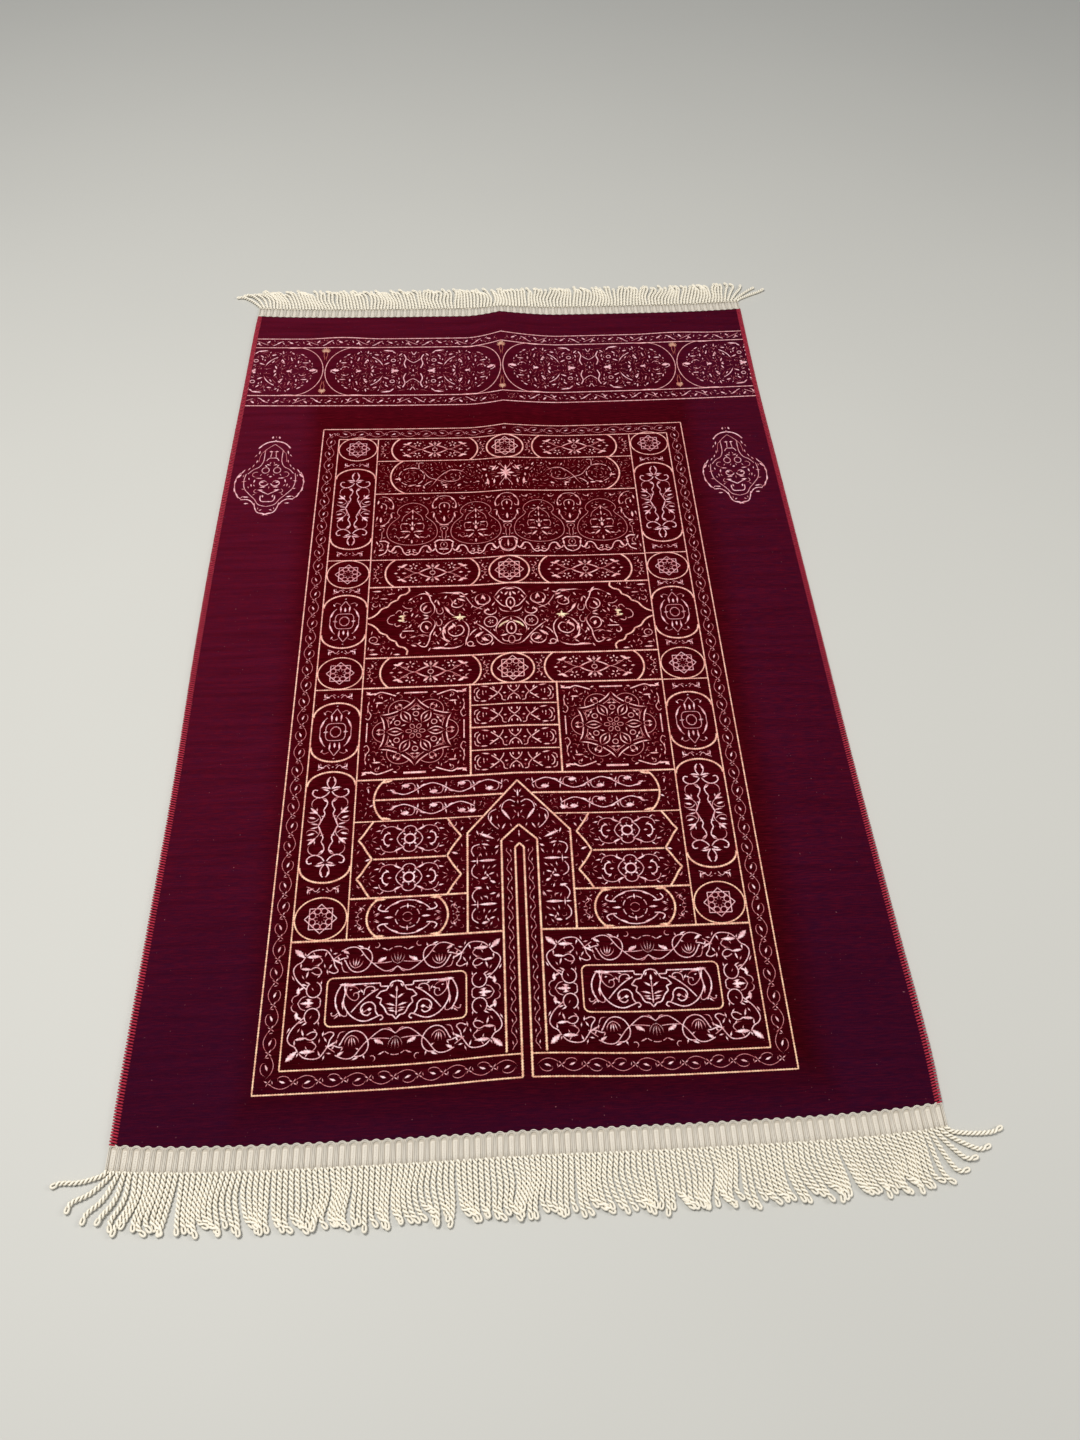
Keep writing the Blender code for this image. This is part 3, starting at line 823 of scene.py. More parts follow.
def sew_heading(name, end):
    """One end's arches, chain stitches and the band under them."""
    parts = []
    deep = HEADING_DEEP + 0.4 * MM
    for number in range(ARCH_COUNT):
        middle = -HALF_WIDTH + ARCH_PITCH * (number + 0.5)
        for reach, radius in ARCH_CORDS:
            reach, radius = reach * MM, radius * MM
            turn = np.linspace(0, math.pi, 9)
            legs = np.array([deep, deep * 0.72, deep * 0.44])
            away = np.concatenate([legs, ARCH_CENTRE - reach * np.sin(turn), legs[::-1]])
            across = np.concatenate([[reach] * 3, reach * np.cos(turn), [-reach] * 3])
            flat = np.stack([middle + across, end * (HALF_LENGTH + away), heading_height(away)], 1)
            parts.append(tube(lay(flat), radius))
        for bead in range(CHAIN_COUNT):
            away = ARCH_CENTRE + 1.2 * MM + CHAIN_PITCH * bead
            sway = CHAIN_SWAY * (-1) ** bead
            bends = [(sway, away - CHAIN_HALF), (-sway * 0.4, away), (-sway, away + CHAIN_HALF)]
            flat = [(middle + x, end * (HALF_LENGTH + y), PANEL_HIGH + 0.05 * MM) for x, y in bends]
            parts.append(tube(lay(flat), CHAIN_RADII))
        parts.append(arch_panel(middle, deep, end))
    points, faces = gather(parts)
    arches = make_piece(name, points, faces, heading_cotton)
    columns = np.linspace(-HALF_WIDTH + 0.3 * MM, HALF_WIDTH - 0.3 * MM, 2 * ARCH_COUNT + 1)
    away = np.array([0.25 * MM, -0.2 * MM, -0.2 * MM, 3.2 * MM, deep, deep])
    high = np.array([0.0, 3.05 * MM, 3.35 * MM, BAND_HIGH, BAND_HIGH, 0.0])
    flat = np.array([(x, end * (HALF_LENGTH + a), h) for x in columns for a, h in zip(away, high)])
    faces = [face[::-end] for face in skin_rings(len(columns), len(away))]
    # The band's darker cream is painted shade, seen in the gaps between the arches.
    band = make_piece(name + "_band", lay(flat), faces, band_cotton_painted_shade)
    return arches, band


near_heading, near_band = sew_heading("near_heading", -1)
far_heading, far_band = sew_heading("far_heading", 1)

# %% [markdown]
# ## Drawing the woven figures
# The figures are woven in with gold and pale yarn, which stands a little proud of the pile. An
# image texture could hold them, but this rug has no picture to lean on, and real strips of yarn
# catch the light as the floats do. So each figure is drawn in strokes: a stroke is a line of
# places, in millimetres on the flat rug, with the yarn's width at each. The pattern is the same
# on both sides of the crease, so its places are measured from the crease: across, then along.

# %% Pens
FINE, THIN, BROAD = 1.05, 1.3, 1.7


def pen(places, wide=THIN, pointed=""):
    """A stroke along places. pointed holds "a" for a pointed start and "z" for a pointed end."""
    places = np.asarray(places, float)
    reach = np.concatenate([[0], np.cumsum(np.hypot(*np.diff(places, axis=0).T))])
    widths = np.full(len(places), float(wide))
    fade = max(0.25 * reach[-1], 1e-6)
    if "a" in pointed:
        widths *= np.clip(reach / fade, 0.25, 1)
    if "z" in pointed:
        widths *= np.clip((reach[-1] - reach) / fade, 0.25, 1)
    return places, widths


def arc(x, y, wide, high, start, stop):
    """Places on an ellipse from one angle to another, in degrees."""
    long = math.radians(abs(stop - start)) * max(wide, high)
    turn = np.radians(np.linspace(start, stop, max(4, int(long / 1.5) + 1)))
    return np.stack([x + wide * np.cos(turn), y + high * np.sin(turn)], 1)


def ring(x, y, wide, high=None):
    """Places all round an ellipse or circle."""
    return arc(x, y, wide, high or wide, 0, 360)


def curl(x, y, heading, long, turn, tighten=1.0):
    """Places along a tendril that sets off in a heading and turns, tighter towards its tip."""
    count = max(4, int(long / 1.3))
    share = (np.arange(count) + 0.5) / count
    way = np.radians(heading + turn * share**tighten)
    steps = np.stack([np.cos(way), np.sin(way)], 1) * long / count
    return np.concatenate([[(x, y)], (x, y) + np.cumsum(steps, 0)])


def curve(*places):
    """Places along a smooth curve through the given ones."""
    knots = np.array([places[0], *places, places[-1]], float)
    found = []
    for k in range(1, len(knots) - 2):
        a, b, c, d = knots[k - 1 : k + 3]
        count = max(2, int(np.hypot(*(c - b)) / 1.5) + 1)
        t = np.linspace(0, 1, count, endpoint=False)[:, None]
        found.append(
            b + t * (c - a) / 2 + t**2 * (a - 2.5 * b + 2 * c - d / 2) + t**3 * (1.5 * (b - c) + (d - a) / 2)
        )
    return np.concatenate([*found, knots[-1:]])


def leaf(x, y, heading, long, wide, turn=0.0):
    """A filled leaf: a short stroke that swells and comes to a point."""
    count = 4 if long < 7 else 6
    share = np.linspace(0, 1, count + 1)
    way = np.radians(heading + turn * (share[1:] - 0.5 / count))
    steps = np.stack([np.cos(way), np.sin(way)], 1) * long / count
    places = np.concatenate([[(x, y)], (x, y) + np.cumsum(steps, 0)])
    return places, wide * np.maximum(0.12, np.sin(math.pi * share**0.85))


def leaves(*rows):
    """Several leaves: each row holds what leaf asks for."""
    return [leaf(*row) for row in rows]


def stem(wide, *places, tip=""):
    """A stroke of one width along a smooth curve through places. tip says which ends are pointed."""
    return pen(curve(*places), wide, tip)


def stems(wide, *runs, tip=""):
    """Several stems of one width: each run holds one stem's places."""
    return [stem(wide, *run, tip=tip) for run in runs]


def tendril(wide, *way):
    """A stroke of one width along a curl, with a pointed tip. way holds what curl asks for."""
    return pen(curl(*way), wide, "z")


def tendrils(wide, *ways):
    """Several tendrils of one width."""
    return [tendril(wide, *way) for way in ways]


def dot(x, y, wide=2.0):
    """A filled dot."""
    return leaf(x - wide / 2, y, 0, wide, wide)


def put(figure, x=0.0, y=0.0, turn=0.0):
    """A figure turned by degrees and moved to a place."""
    c, s = math.cos(math.radians(turn)), math.sin(math.radians(turn))
    turned = np.array([[c, s], [-s, c]])
    return [(places @ turned + (x, y), widths) for places, widths in figure]


def scaled(figure, across=1.0, along=1.0):
    """A figure's places times these numbers. Minus one gives its mirror image."""
    return [(places * (across, along), widths) for places, widths in figure]


def across_line(figure, x=0.0):
    """A figure and its mirror image across the line at x."""
    return figure + [(places * (-1, 1) + (2 * x, 0), widths) for places, widths in figure]


def over_line(figure, y=0.0):
    """A figure and its mirror image over the line at y."""
    return figure + [(places * (1, -1) + (0, 2 * y), widths) for places, widths in figure]


def fourfold(figure, x=0.0, y=0.0):
    """A figure and its mirror images both ways."""
    return over_line(across_line(figure, x), y)


drawn = {}


def draw(piece, figure, mirrored=True):
    """Adds a figure to a piece of the pattern, on both sides of the crease."""
    drawn.setdefault(piece, []).extend(across_line(figure) if mirrored else figure)


def resample(places, widths, step):
    """The same stroke with places an even step apart, and its widths."""
    reach = np.concatenate([[0], np.cumsum(np.hypot(*np.diff(places, axis=0).T))])
    keep = np.concatenate([[True], np.diff(reach) > 1e-6])
    reach, places, widths = reach[keep], places[keep], widths[keep]
    count = max(2, int(round(reach[-1] / step)))
    at = np.linspace(0, reach[-1], count + 1)
    return (
        np.stack([np.interp(at, reach, places[:, 0]), np.interp(at, reach, places[:, 1])], 1),
        np.interp(at, reach, widths),
    )


print("pens ready")

# %% [markdown]
# ### Small figures
# A few small figures come again and again: rosettes of petals, stars of two squares, and low and
# upright sprigs. They are drawn once each, about their own middle.

# %% Draw the small figures


def rosette(petals, inner, outer, wide):
    """Filled petals round a middle."""
    angles = np.arange(petals) * 2 * math.pi / petals
    return [
        leaf(inner * math.cos(a), inner * math.sin(a), math.degrees(a), outer - inner, wide) for a in angles
    ]


def star_rosette(reach=17.0):
    """Two squares set across each other, with a ring in each of the eight gaps and a faint flower."""
    square = [(reach * math.cos(a), reach * math.sin(a)) for a in np.radians([45, 135, 225, 315, 405])]
    figure = [pen(square, 1.5)] + put([pen(square, 1.5)], turn=45)
    loop = [pen(ring(reach * 0.56, 0, 3.1), THIN), pen([(reach * 0.2, 0), (reach * 0.3, 0)], FINE)]
    for turn in range(0, 360, 45):
        figure += put(loop, turn=turn + 22.5)
    return figure


def small_sprig():
    """A low sprig for the gaps of a column: an upright tick at each end of a bent stem."""
    half = [stem(THIN, (15.5, -4), (10.5, -1.6), (6.5, 1.6), (3.2, -2.6))] + leaves(
        (14.5, 4.2, -95, 7.5, 2.2), (8.6, -2, 22, 6.5, 2.6), (2.2, 1.2, 25, 4, 1.6), (12, 0.5, 80, 4, 1.4),
    )
    return across_line(half) + [dot(0, -0.5, 2.2)]


def side_sprig(tall=20.0):
    """An upright sprig that fills the gap beside a cartouche, mirrored about its middle."""
    half = [
        stem(FINE, (0.5, 0.8), (2.2, tall * 0.14), (-1.8, tall * 0.27), (1.5, tall * 0.42), tip="z"),
    ] + leaves(
        (-1.2, tall * 0.25, 75, 4.6, 2), (1.8, tall * 0.2, 20, 3.4, 1.7), (-2.2, tall * 0.4, 150, 3.6, 1.7),
        (1, tall * 0.08, -20, 3.6, 1.6),
    )
    return over_line(half) + [dot(-1.6, 0, 2.0)]


print("small figures ready")

# %% [markdown]
# ### Frames and columns
# Two long frames run round the niche, with a vine between them. Down each side, a column holds
# roundels and tall cartouches in turn. Their gold lines are thicker than the scrolls, and they
# swell a little where a ring meets a frame.

# %% Draw the frames and the columns
GOLD, GOLD_BROAD = 2.05, 2.9
FRAME_OUT, FRAME_IN, COLUMN_IN = 234.5, 213.5, 163.0
FRAME_TOP, FRAME_BOTTOM = 322.3, -536.0
INNER_TOP, INNER_BOTTOM = 302.7, -516.0
COLUMN_FOOT = -396.5
SLIT = 4.3
COLUMN = (FRAME_IN + COLUMN_IN) / 2
COLUMN_HALF = (FRAME_IN - COLUMN_IN) / 2

draw(
    "gold_frames",
    [
        pen([(0, FRAME_TOP), (FRAME_OUT, FRAME_TOP), (FRAME_OUT, FRAME_BOTTOM), (SLIT, FRAME_BOTTOM)], GOLD),
        pen([(0, INNER_TOP), (FRAME_IN, INNER_TOP), (FRAME_IN, INNER_BOTTOM), (SLIT, INNER_BOTTOM)], GOLD),
        pen([(COLUMN_IN, INNER_TOP), (COLUMN_IN, COLUMN_FOOT)], GOLD),
    ],
)
for level in (86.5, -104.5, COLUMN_FOOT):
    draw("gold_frames", [pen([(COLUMN_IN, level), (FRAME_IN, level)], GOLD)])

ROUNDELS = (283.5, 64.5, -82.0, -374.0)
# Columns: the top and the bottom of each rounded cartouche, and how deep its arched ends are
OVALS = ((246.0, 105.0, 18.0), (31.5, -46.5, 19.0), (-122.5, -197.5, 18.5), (-210.0, -336.5, 17.0))
for level in ROUNDELS:
    draw("gold_frames", [pen(ring(COLUMN, level, 24.2, 21.8), GOLD)])
    swelling = pen([(COLUMN_IN, level - 6), (COLUMN_IN, level + 6)], 3.4, "az")
    draw("gold_frames", across_line([swelling], COLUMN))
for top, bottom, deep in OVALS:
    reach = COLUMN_HALF - 1.0
    for end, way in ((top, 1), (bottom, -1)):
        middle = end - way * deep
        draw("gold_frames", [pen(arc(COLUMN, middle, reach, deep, 0, way * 180), GOLD_BROAD)])
        joint = pen([(COLUMN_IN + 0.8, middle - way * 7), (COLUMN_IN + 0.8, middle + way * 3)], 3.2, "az")
        draw("gold_frames", across_line([joint], COLUMN))


def column_oval():
    """The inside of a short cartouche: a ring in a round square, between brackets and lotus legs."""
    quarter = [stem(FINE, (5.6, 25.5), (10, 27.4), (12.6, 25))] + stems(
        THIN, ((16, 0), (16, 7), (13.8, 13), (9.6, 18.5)), ((0, 11), (7.2, 10.4), (10, 6.4), (10.2, 0)),
        ((0, 30), (3, 25.5), (5.6, 20.5), (4.6, 13.5)),
    ) + leaves(
        (15.8, 5, 100, 13, 3.2, 22), (7.6, 0, 0, 5.4, 4.6), (3.6, 3.2, 110, 4, 1.6), (5.4, 23, -95, 9, 2.8),
        (11.6, 22, 60, 4.6, 2.4),
    )
    return fourfold(quarter) + over_line([leaf(0, 13.6, 90, 7, 3.4), dot(0, 33.5, 2.4)]) + [
        pen(ring(0, 0, 5.4, 6.6), THIN),
    ]


TALL_DRAWN = 63.2


def column_tall(half_tall):
    """The inside of a tall cartouche: a lily at each end of a lobed frame of leafy scrolls."""
    quarter = [
        stem(1.8, (1.3, 39.6), (4.2, 35.6), (9.8, 32.8), (15.6, 34.4), (18.2, 38.4), (16.4, 42), (13, 41.4)),
        stem(THIN, (4.8, 31.4), (11, 33), (16.6, 29.6), (17.8, 24), (15.6, 20.4), tip="z"),
        stem(THIN, (11.4, 13.6), (8.8, 10.4), (7.8, 6), (9.4, 1.4)),
        stem(THIN, (20.4, 8.6), (20, 5.4), (16.4, 4.4), (12.4, 5.6), (9.6, 8.4), tip="a"),
    ] + stems(
        BROAD, ((1.4, 57), (4.2, 53), (3.6, 47.6), (0.8, 43)),
        ((4.8, 31.4), (2.3, 27), (3.4, 22), (5.5, 18), (4.1, 13.6), (6.2, 8), (8.4, 2.4), (9.8, 0)),
    ) + leaves(
        (3.8, 50, 100, 7, 2.4), (0.8, 42.6, 34, 10.4, 3, -50), (1.4, 40.4, 20, 8, 2.6),
        (16.8, 41.6, -70, 5.4, 2.2), (2.4, 27, 40, 6.6, 2.4), (5.6, 18.4, 120, 5, 2),
        (11, 13.4, 46, 11, 4.8), (13, 15, 6, 7.4, 2.6), (12, 16.6, 88, 4.6, 2), (12.6, 8.4, 14, 8, 3.2),
        (7.6, 11.4, -160, 4.6, 1.9), (9, 1.2, 12, 9.4, 2.4),
    )
    return scaled(fourfold(quarter), 1, half_tall / TALL_DRAWN)


for level in ROUNDELS:
    draw("pale_columns", put(star_rosette(15.0), COLUMN, level))
for top, bottom, _ in OVALS:
    inside = column_tall((top - bottom) / 2) if top - bottom > 100 else column_oval()
    draw("pale_columns", put(inside, COLUMN, (top + bottom) / 2))
for level in (253.5, 97.0, 38.0, -52.5, -113.5, -203.5, -344.0):
    flipped = 180 if level in (97.0, -52.5, -344.0) else 0
    draw("pale_columns", put(small_sprig(), COLUMN, level, turn=flipped))
print(len(drawn["gold_frames"]), "gold strokes and", len(drawn["pale_columns"]), "pale ones so far")

# %% [markdown]
# ### The vine border
# Between the two frames a vine runs round: it swings from side to side, and each bend holds a
# tendril with one leaf. One bend is drawn lying down and repeated, turned for the upright sides.

# %% Draw the vine border
SIDE_BEND, END_BEND = 21.8, 20.5


def vine_bend(long, way):
    """One bend of the vine: an arc, a filled leaf in a hooked tendril and a small cross at its end."""
    cross = [leaf(long, 0, turn, far, 1.5) for turn, far in ((32, 4.6), (128, 4.0), (215, 4.8), (300, 3.4))]
    return cross + [
        leaf(long * 0.3, 0.4 * way, -10 * way, 6.2, 2.9, -24 * way),
        leaf(long * 0.84, -2.2 * way, 100 * way, 3.4, 1.5),
    ] + stems(
        FINE,
        ((0, 0), (long * 0.2, 3.8 * way), (long * 0.48, 5.4 * way), (long * 0.76, 3.6 * way), (long, 0)),
        (
            (long * 0.08, -0.6 * way), (long * 0.2, -4.2 * way), (long * 0.42, -5.6 * way),
            (long * 0.62, -4 * way), (long * 0.6, -1.4 * way),
        ),
        tip="az",
    )


def vine(start, stop, middle, upright, bend):
    """A run of vine between two places, along a side or an end of the frame."""
    count = round(abs(stop - start) / bend)
    figure = []
    for number in range(count):
        one = vine_bend(abs(stop - start) / count, (-1) ** number)
        at = start + (stop - start) * number / count
        if upright:
            figure += put(one, middle, at, turn=90 if stop > start else -90)
        else:
            figure += put(one, at, middle, turn=0 if stop > start else 180)
    return figure


VINE_SIDE = (FRAME_OUT + FRAME_IN) / 2
draw("pale_border", vine(FRAME_BOTTOM + 14, FRAME_TOP - 12, VINE_SIDE, True, SIDE_BEND))
draw("pale_border", vine(SLIT + 5, VINE_SIDE - 6, (FRAME_TOP + INNER_TOP) / 2, False, END_BEND))
draw("pale_border", vine(SLIT + 4, VINE_SIDE - 2, (FRAME_BOTTOM + INNER_BOTTOM) / 2, False, END_BEND))
draw("pale_border", [leaf(1.2, FRAME_TOP - 9.5, 90, 5, 1.8), leaf(VINE_SIDE, FRAME_TOP - 13, 60, 6, 2.6)])
print(len(drawn["pale_border"]), "strokes in the vine border")

# %% [markdown]
# ### The bands above and below
# Three bands cross the rug with two rounded cartouches and a roundel on the crease. Their arched
# ends swell where they meet the gold lines. Between them come a long cartouche with broken
# rings, and a row of onion-shaped pendants under candelabra figures.

# %% Draw the cartouche bands
# Columns: the level of each gold row, how far from the crease it starts, and its width
ROWS = (
    (260.0, 0, GOLD), (199.5, 0, GOLD), (86.0, 0, GOLD), (42.5, 0, GOLD_BROAD), (-62.5, 0, GOLD_BROAD),
    (-104.2, 0, GOLD_BROAD), (-222.0, 0, GOLD_BROAD), (-271.0, 34.5, GOLD), (-355.0, 51, GOLD),
)
BANDS = ((302.7, 260.0), (86.0, 42.5), (-62.5, -104.5))
BAND_REACH = 26.5

for level, start, wide in ROWS:
    draw("gold_rows", [pen([(start, level), (COLUMN_IN, level)], wide)])


def band_inside():
    """The inside of a band's cartouche: bursts about a ring, crossing stems, blossoms at their ends."""
    quarter = [
        stem(1.9, (1.4, 6.8), (6, 6.2), (11.5, 3.6), (17, 0.2), tip="az"),
        stem(FINE, (8, -4.4), (14, -1), (21.5, 1), (28, 4.6), (34.5, 9.8), tip="a"),
        tendril(FINE, 25, 3, 80, 11, -150, 1.2),
    ] + leaves(
        (0, 3.4, 90, 6, 1.7), (0, 8.4, 90, 6.6, 4.6), (2.6, 8.2, 42, 7.6, 3.6), (0.6, 7.6, 5, 6, 1.7),
        (33.8, 9.6, 12, 7.6, 3.8), (36.6, 8.4, 115, 9.4, 4.6, 55), (38, 8.5, -70, 4, 1.8),
        (42, 4.6, 150, 4, 1.5), (14.5, 13, 60, 3.4, 1.4),
    )
    figure = fourfold(quarter + put(rosette(5, 1.6, 5.4, 2.5), 22.5, 10.4, turn=90))
    return figure + across_line([leaf(30.5, 0, 0, 5.4, 3), leaf(40.5, 0, 0, 4.6, 2.6)]) + [
        pen(ring(0, 0, 3), THIN),
    ]


for top, bottom in BANDS:
    middle, half = (top + bottom) / 2, (top - bottom) / 2
    lean = math.degrees(math.asin(half / BAND_REACH))
    ends = [
        pen(arc(at, middle, BAND_REACH, BAND_REACH, facing - lean, facing + lean), GOLD_BROAD)
        for at, facing in ((118.5, 0), (61.5, 180))
    ]
    for at, way in ((134, 1), (46, -1)):
        for level, side in ((top, -1), (bottom, 1)):
            ends.append(pen([(at - 6, level + side * 0.6), (at + 6, level + side * 0.6)], 3.2, "az"))
    draw("gold_rows", ends)
    draw("gold_rows", [pen(ring(0, middle, 23.5, half), GOLD_BROAD)], mirrored=False)
    draw("blush_rows", put(band_inside(), 90, middle))
    draw("blush_rows", put(star_rosette(), 0, middle), mirrored=False)
    draw(
        "blush_rows",
        put(side_sprig(half * 1.6), 154.5, middle) + put(side_sprig(half * 1.5), 30.5, middle, turn=180),
    )

# %% [markdown]
# The long cartouche holds rings that are broken into dashes, as where one band passes under
# another, and a rosette on the crease.

# %% Draw the long cartouche
LONG_ROW = 230.0
LONG_REACH = 35.2


def broken_ring(x, y, radius, pieces, first, share, wide):
    """A ring of dashes: each covers a share of its step round the circle."""
    step = 360 / pieces
    starts = [first + number * step for number in range(pieces)]
    return [pen(arc(x, y, radius, radius, start, start + share * step), wide) for start in starts]


top_lean, low_lean = (math.degrees(math.asin((level - 231) / LONG_REACH)) for level in (260, 199.5))
draw(
    "gold_rows",
    [
        pen(arc(109.5, 231, LONG_REACH, LONG_REACH, low_lean, top_lean), 2.9),
        pen([(119, 200.2), (135, 200.2)], 4.2, "az"), pen([(122, 259.4), (138, 259.4)], 4, "az"),
    ],
)
interlace = broken_ring(118.5, 230.5, 16, 9, 10, 0.7, 1.5) + broken_ring(118.5, 230, 9, 6, 40, 0.5, FINE)
interlace += broken_ring(66.5, 231, 10, 6, 20, 0.55, FINE) + broken_ring(66.5, 231, 3.5, 3, 20, 0.5, FINE)
interlace += broken_ring(44, 231, 14.5, 7, 30, 0.45, FINE)
interlace += [
    stem(THIN, (109.5, 244), (109.6, 255), (104, 255.4)),
    stem(1.6, (102, 214), (97, 219), (91, 222), tip="z"),
] + stems(
    THIN, ((106, 245), (97, 229), (84.5, 223), (69, 214)),
    ((99, 207), (92, 215), (84.5, 228), (75, 238), (66, 242), (54, 238), (47, 229)),
    ((84.5, 227), (76, 221.5), (66, 220.5), (55, 225)), tip="az",
) + leaves(
    (113, 246.3, 0, 9, 2.8), (131, 226.4, 0, 9, 3.4), (117, 213.4, 0, 6, 2.8), (106, 213.4, 0, 8, 3.2),
    (102, 208, 75, 6, 3), (73, 214, 0, 8, 3.2), (75, 208, 90, 5, 3.6), (56, 215, -30, 6, 3.8),
    (86, 211, 90, 4, 1.8), (70, 246, 60, 5, 2.4), (58, 247, 120, 5, 2.4), (44, 249, 30, 4, 2.4),
    (33, 246, 60, 6, 2.8), (33, 218, 20, 5, 2.8),
)
rosette_side = stems(
    THIN, ((0.6, 239), (4.5, 244), (8, 253)), ((0.6, 223), (4.5, 217), (9, 209)), tip="z",
) + leaves(
    (0, 231.4, 0, 11, 4.4), (0, 232, 45, 10, 3.6), (0, 231, -45, 9.4, 3.4), (8, 226, -10, 7, 2.2),
    (7, 246, 60, 5, 1.8), (7.5, 213, -90, 5, 2.2), (17.5, 237, 122, 11, 4.4), (24, 238.6, 30, 7, 4),
    (13.4, 243, 20, 8, 2.8), (13.5, 238, 130, 8, 2.2), (22, 211, 85, 13, 4.2), (15, 213, 95, 9, 3.2),
    (24.5, 226, 90, 6, 2.8), (27, 214, 160, 7, 2.6),
)
draw("blush_rows", interlace + rosette_side)
draw("blush_rows", [leaf(0, 231, 90, 15, 4.2), leaf(0, 232, -90, 14, 4), dot(0, 231.5, 5)], mirrored=False)
print(sum(len(strokes) for strokes in drawn.values()), "strokes so far")

# %% [markdown]
# The pendants hang between the candelabra figures, on a heavy scrolling vine. One candelabra and
# one pendant are drawn about their own middle line and set in place along the row.

# %% Draw the pendants and the candelabra
ONION = ((0, 182.5), (7, 181), (12.5, 177.5), (17, 172.5), (18.8, 167), (18, 163), (15.6, 160.8))
ONION_BELLY = (
    (15.6, 160.8), (17.5, 156.5), (22.5, 151), (27.5, 144), (30.3, 133), (28.3, 122.5), (20.5, 115),
    (10.5, 111), (0, 109.8),
)


def pendant():
    """An onion-shaped pendant with a palmette that spreads from its middle."""
    half = stems(
        FINE, ONION, ONION_BELLY, ((12.5, 147), (14.2, 142), (13, 136.5)),
        ((0.5, 169.5), (5, 164.5), (10.5, 159), (13, 151)),
    ) + tendrils(FINE, (15, 121.5, 20, 8, 80, 1.3), (19, 135, 100, 9, -190, 1.1)) + leaves(
        (3.4, 133.2, 0, 11, 2.8), (4.5, 146.4, 0, 8.5, 2.4), (2.8, 128.4, -48, 10.5, 3.2),
        (8.5, 124, -12, 7.5, 2), (4, 166.5, 5, 6, 1.6), (3.2, 171, 30, 4, 2), (2.2, 154, 20, 4.5, 1.6),
        (1.4, 142, 60, 5, 1.8), (1.6, 131, 40, 5, 1.6), (20, 127, -70, 4.5, 1.5),
    )
    middle = leaves(
        (0, 134.5, 90, 7.5, 4.4), (0, 142.5, 90, 8, 2.6), (0, 153, 90, 9, 2.2), (0, 119, -90, 7, 2.8),
        (0, 163, 90, 9, 2.2),
    )
    return half, middle


def candelabra(eyed):
    """A candelabra figure: an arch over an eye, a cup with a drop, a ring and a round foot."""
    half = [
        tendril(THIN, 13, 173, -150, 6, -150), tendril(FINE, 12.4, 164, 95, 6, -170),
        pen([(0, 143.4), (5.4, 143.4)], 2.2),
        stem(FINE, (0, 141), (4.2, 138.8), (4, 134.6), (2.2, 132), (2.4, 125), (1.4, 119.5)),
        stem(2.3, (0, 117.2), (6, 117.6), (9.4, 115.6), (11.6, 113)),
        stem(1.9, (10, 104), (6.8, 97.2), (0, 93.6)),
    ] + stems(
        THIN, ((0, 194.3), (5.5, 193.4), (10, 189.6), (13.2, 184), (14.6, 178), (13, 172.8)),
        ((0, 182.4), (4.2, 181), (6.4, 176.6), (5.6, 171.5)),
        ((11.5, 157), (9.2, 150.5), (5.6, 145.8), (0, 143.2)),
    ) + leaves(
        (7.8, 191.8, -52, 9, 3.2), (14.6, 180, -95, 9, 2.6), (12.2, 165, -84, 10, 2.8),
        (3.6, 164.5, 60, 5, 2.2), (7, 148, 30, 4, 1.8), (10.6, 113, -96, 9.5, 3), (3.2, 122.5, 20, 4, 1.6),
    )
    if eyed:
        half += [pen(arc(0, 109, 4.2, 5, -80, 80), FINE), pen([(0, 102.2), (5.4, 102.6)], 2)]
        middle = [leaf(0, 108, 90, 4, 1.8)]
    else:
        half += [pen(arc(0, 107, 9.4, 11, -90, 40), THIN)]
        middle = [leaf(0, 101, 90, 13, 2.8)]
    return (half, middle + [leaf(0, 173.5, 90, 6.5, 2.9), leaf(0, 149, 90, 10, 3.6), dot(0, 137, 3)])


def low_vine():
    """The vine from a candelabra's foot to under the next pendant."""
    return [
        stem(
            1.9, (11, 103), (13.5, 99.5), (16.5, 104), (18.5, 107.8), (23.5, 108.2), (27.2, 104),
            (29.5, 97.5), (34, 93.6), (38.4, 95.6),
        ),
    ] + tendrils(THIN, (20, 101, -60, 11, -230, 0.9), (31.5, 96, 80, 9, -210, 1)) + leaves(
        (14.6, 99, 62, 10, 3.1), (21.5, 99, 200, 4.5, 2.2), (33, 101, 20, 5, 1.8), (35.5, 97, 70, 5, 2),
    )


def crown_hooks():
    """The hooks that hang between an arch and the next pendant, under the row's top line."""
    return [
        tendril(THIN, 18.5, 191.5, -70, 12, 175, 1.1), leaf(24, 187, 80, 5, 2.2),
        leaf(28, 193, -20, 4, 1.4),
    ]


pendant_half, pendant_middle = pendant()
for at in (38.5, 115.5):
    draw("blush_row_three", put(across_line(pendant_half) + pendant_middle, at))
for at, eyed in ((0, False), (77, True)):
    half, middle = candelabra(eyed)
    whole = across_line(half + low_vine() + crown_hooks()) + middle
    draw("blush_row_three", put(whole, at) if at else whole, mirrored=bool(at))
half, middle = candelabra(True)
draw(
    "blush_row_three",
    put(scaled(half + low_vine() + crown_hooks(), -1) + middle, 154),
)
draw(
    "blush_row_three",
    leaves(
        (157.5, 188, -80, 8, 2.6), (158, 160, -80, 9, 2), (158, 118, -110, 8, 2), (158.5, 104, -80, 8, 1.8),
    ),
)
print(len(drawn["blush_row_three"]), "strokes in the pendant row")

# %% [markdown]
# The middle panel is the widest. Its outline steps in to a point at each side, with small cusps.
# Inside it, scrolls branch from two gold knots and from two eyes on the crease.

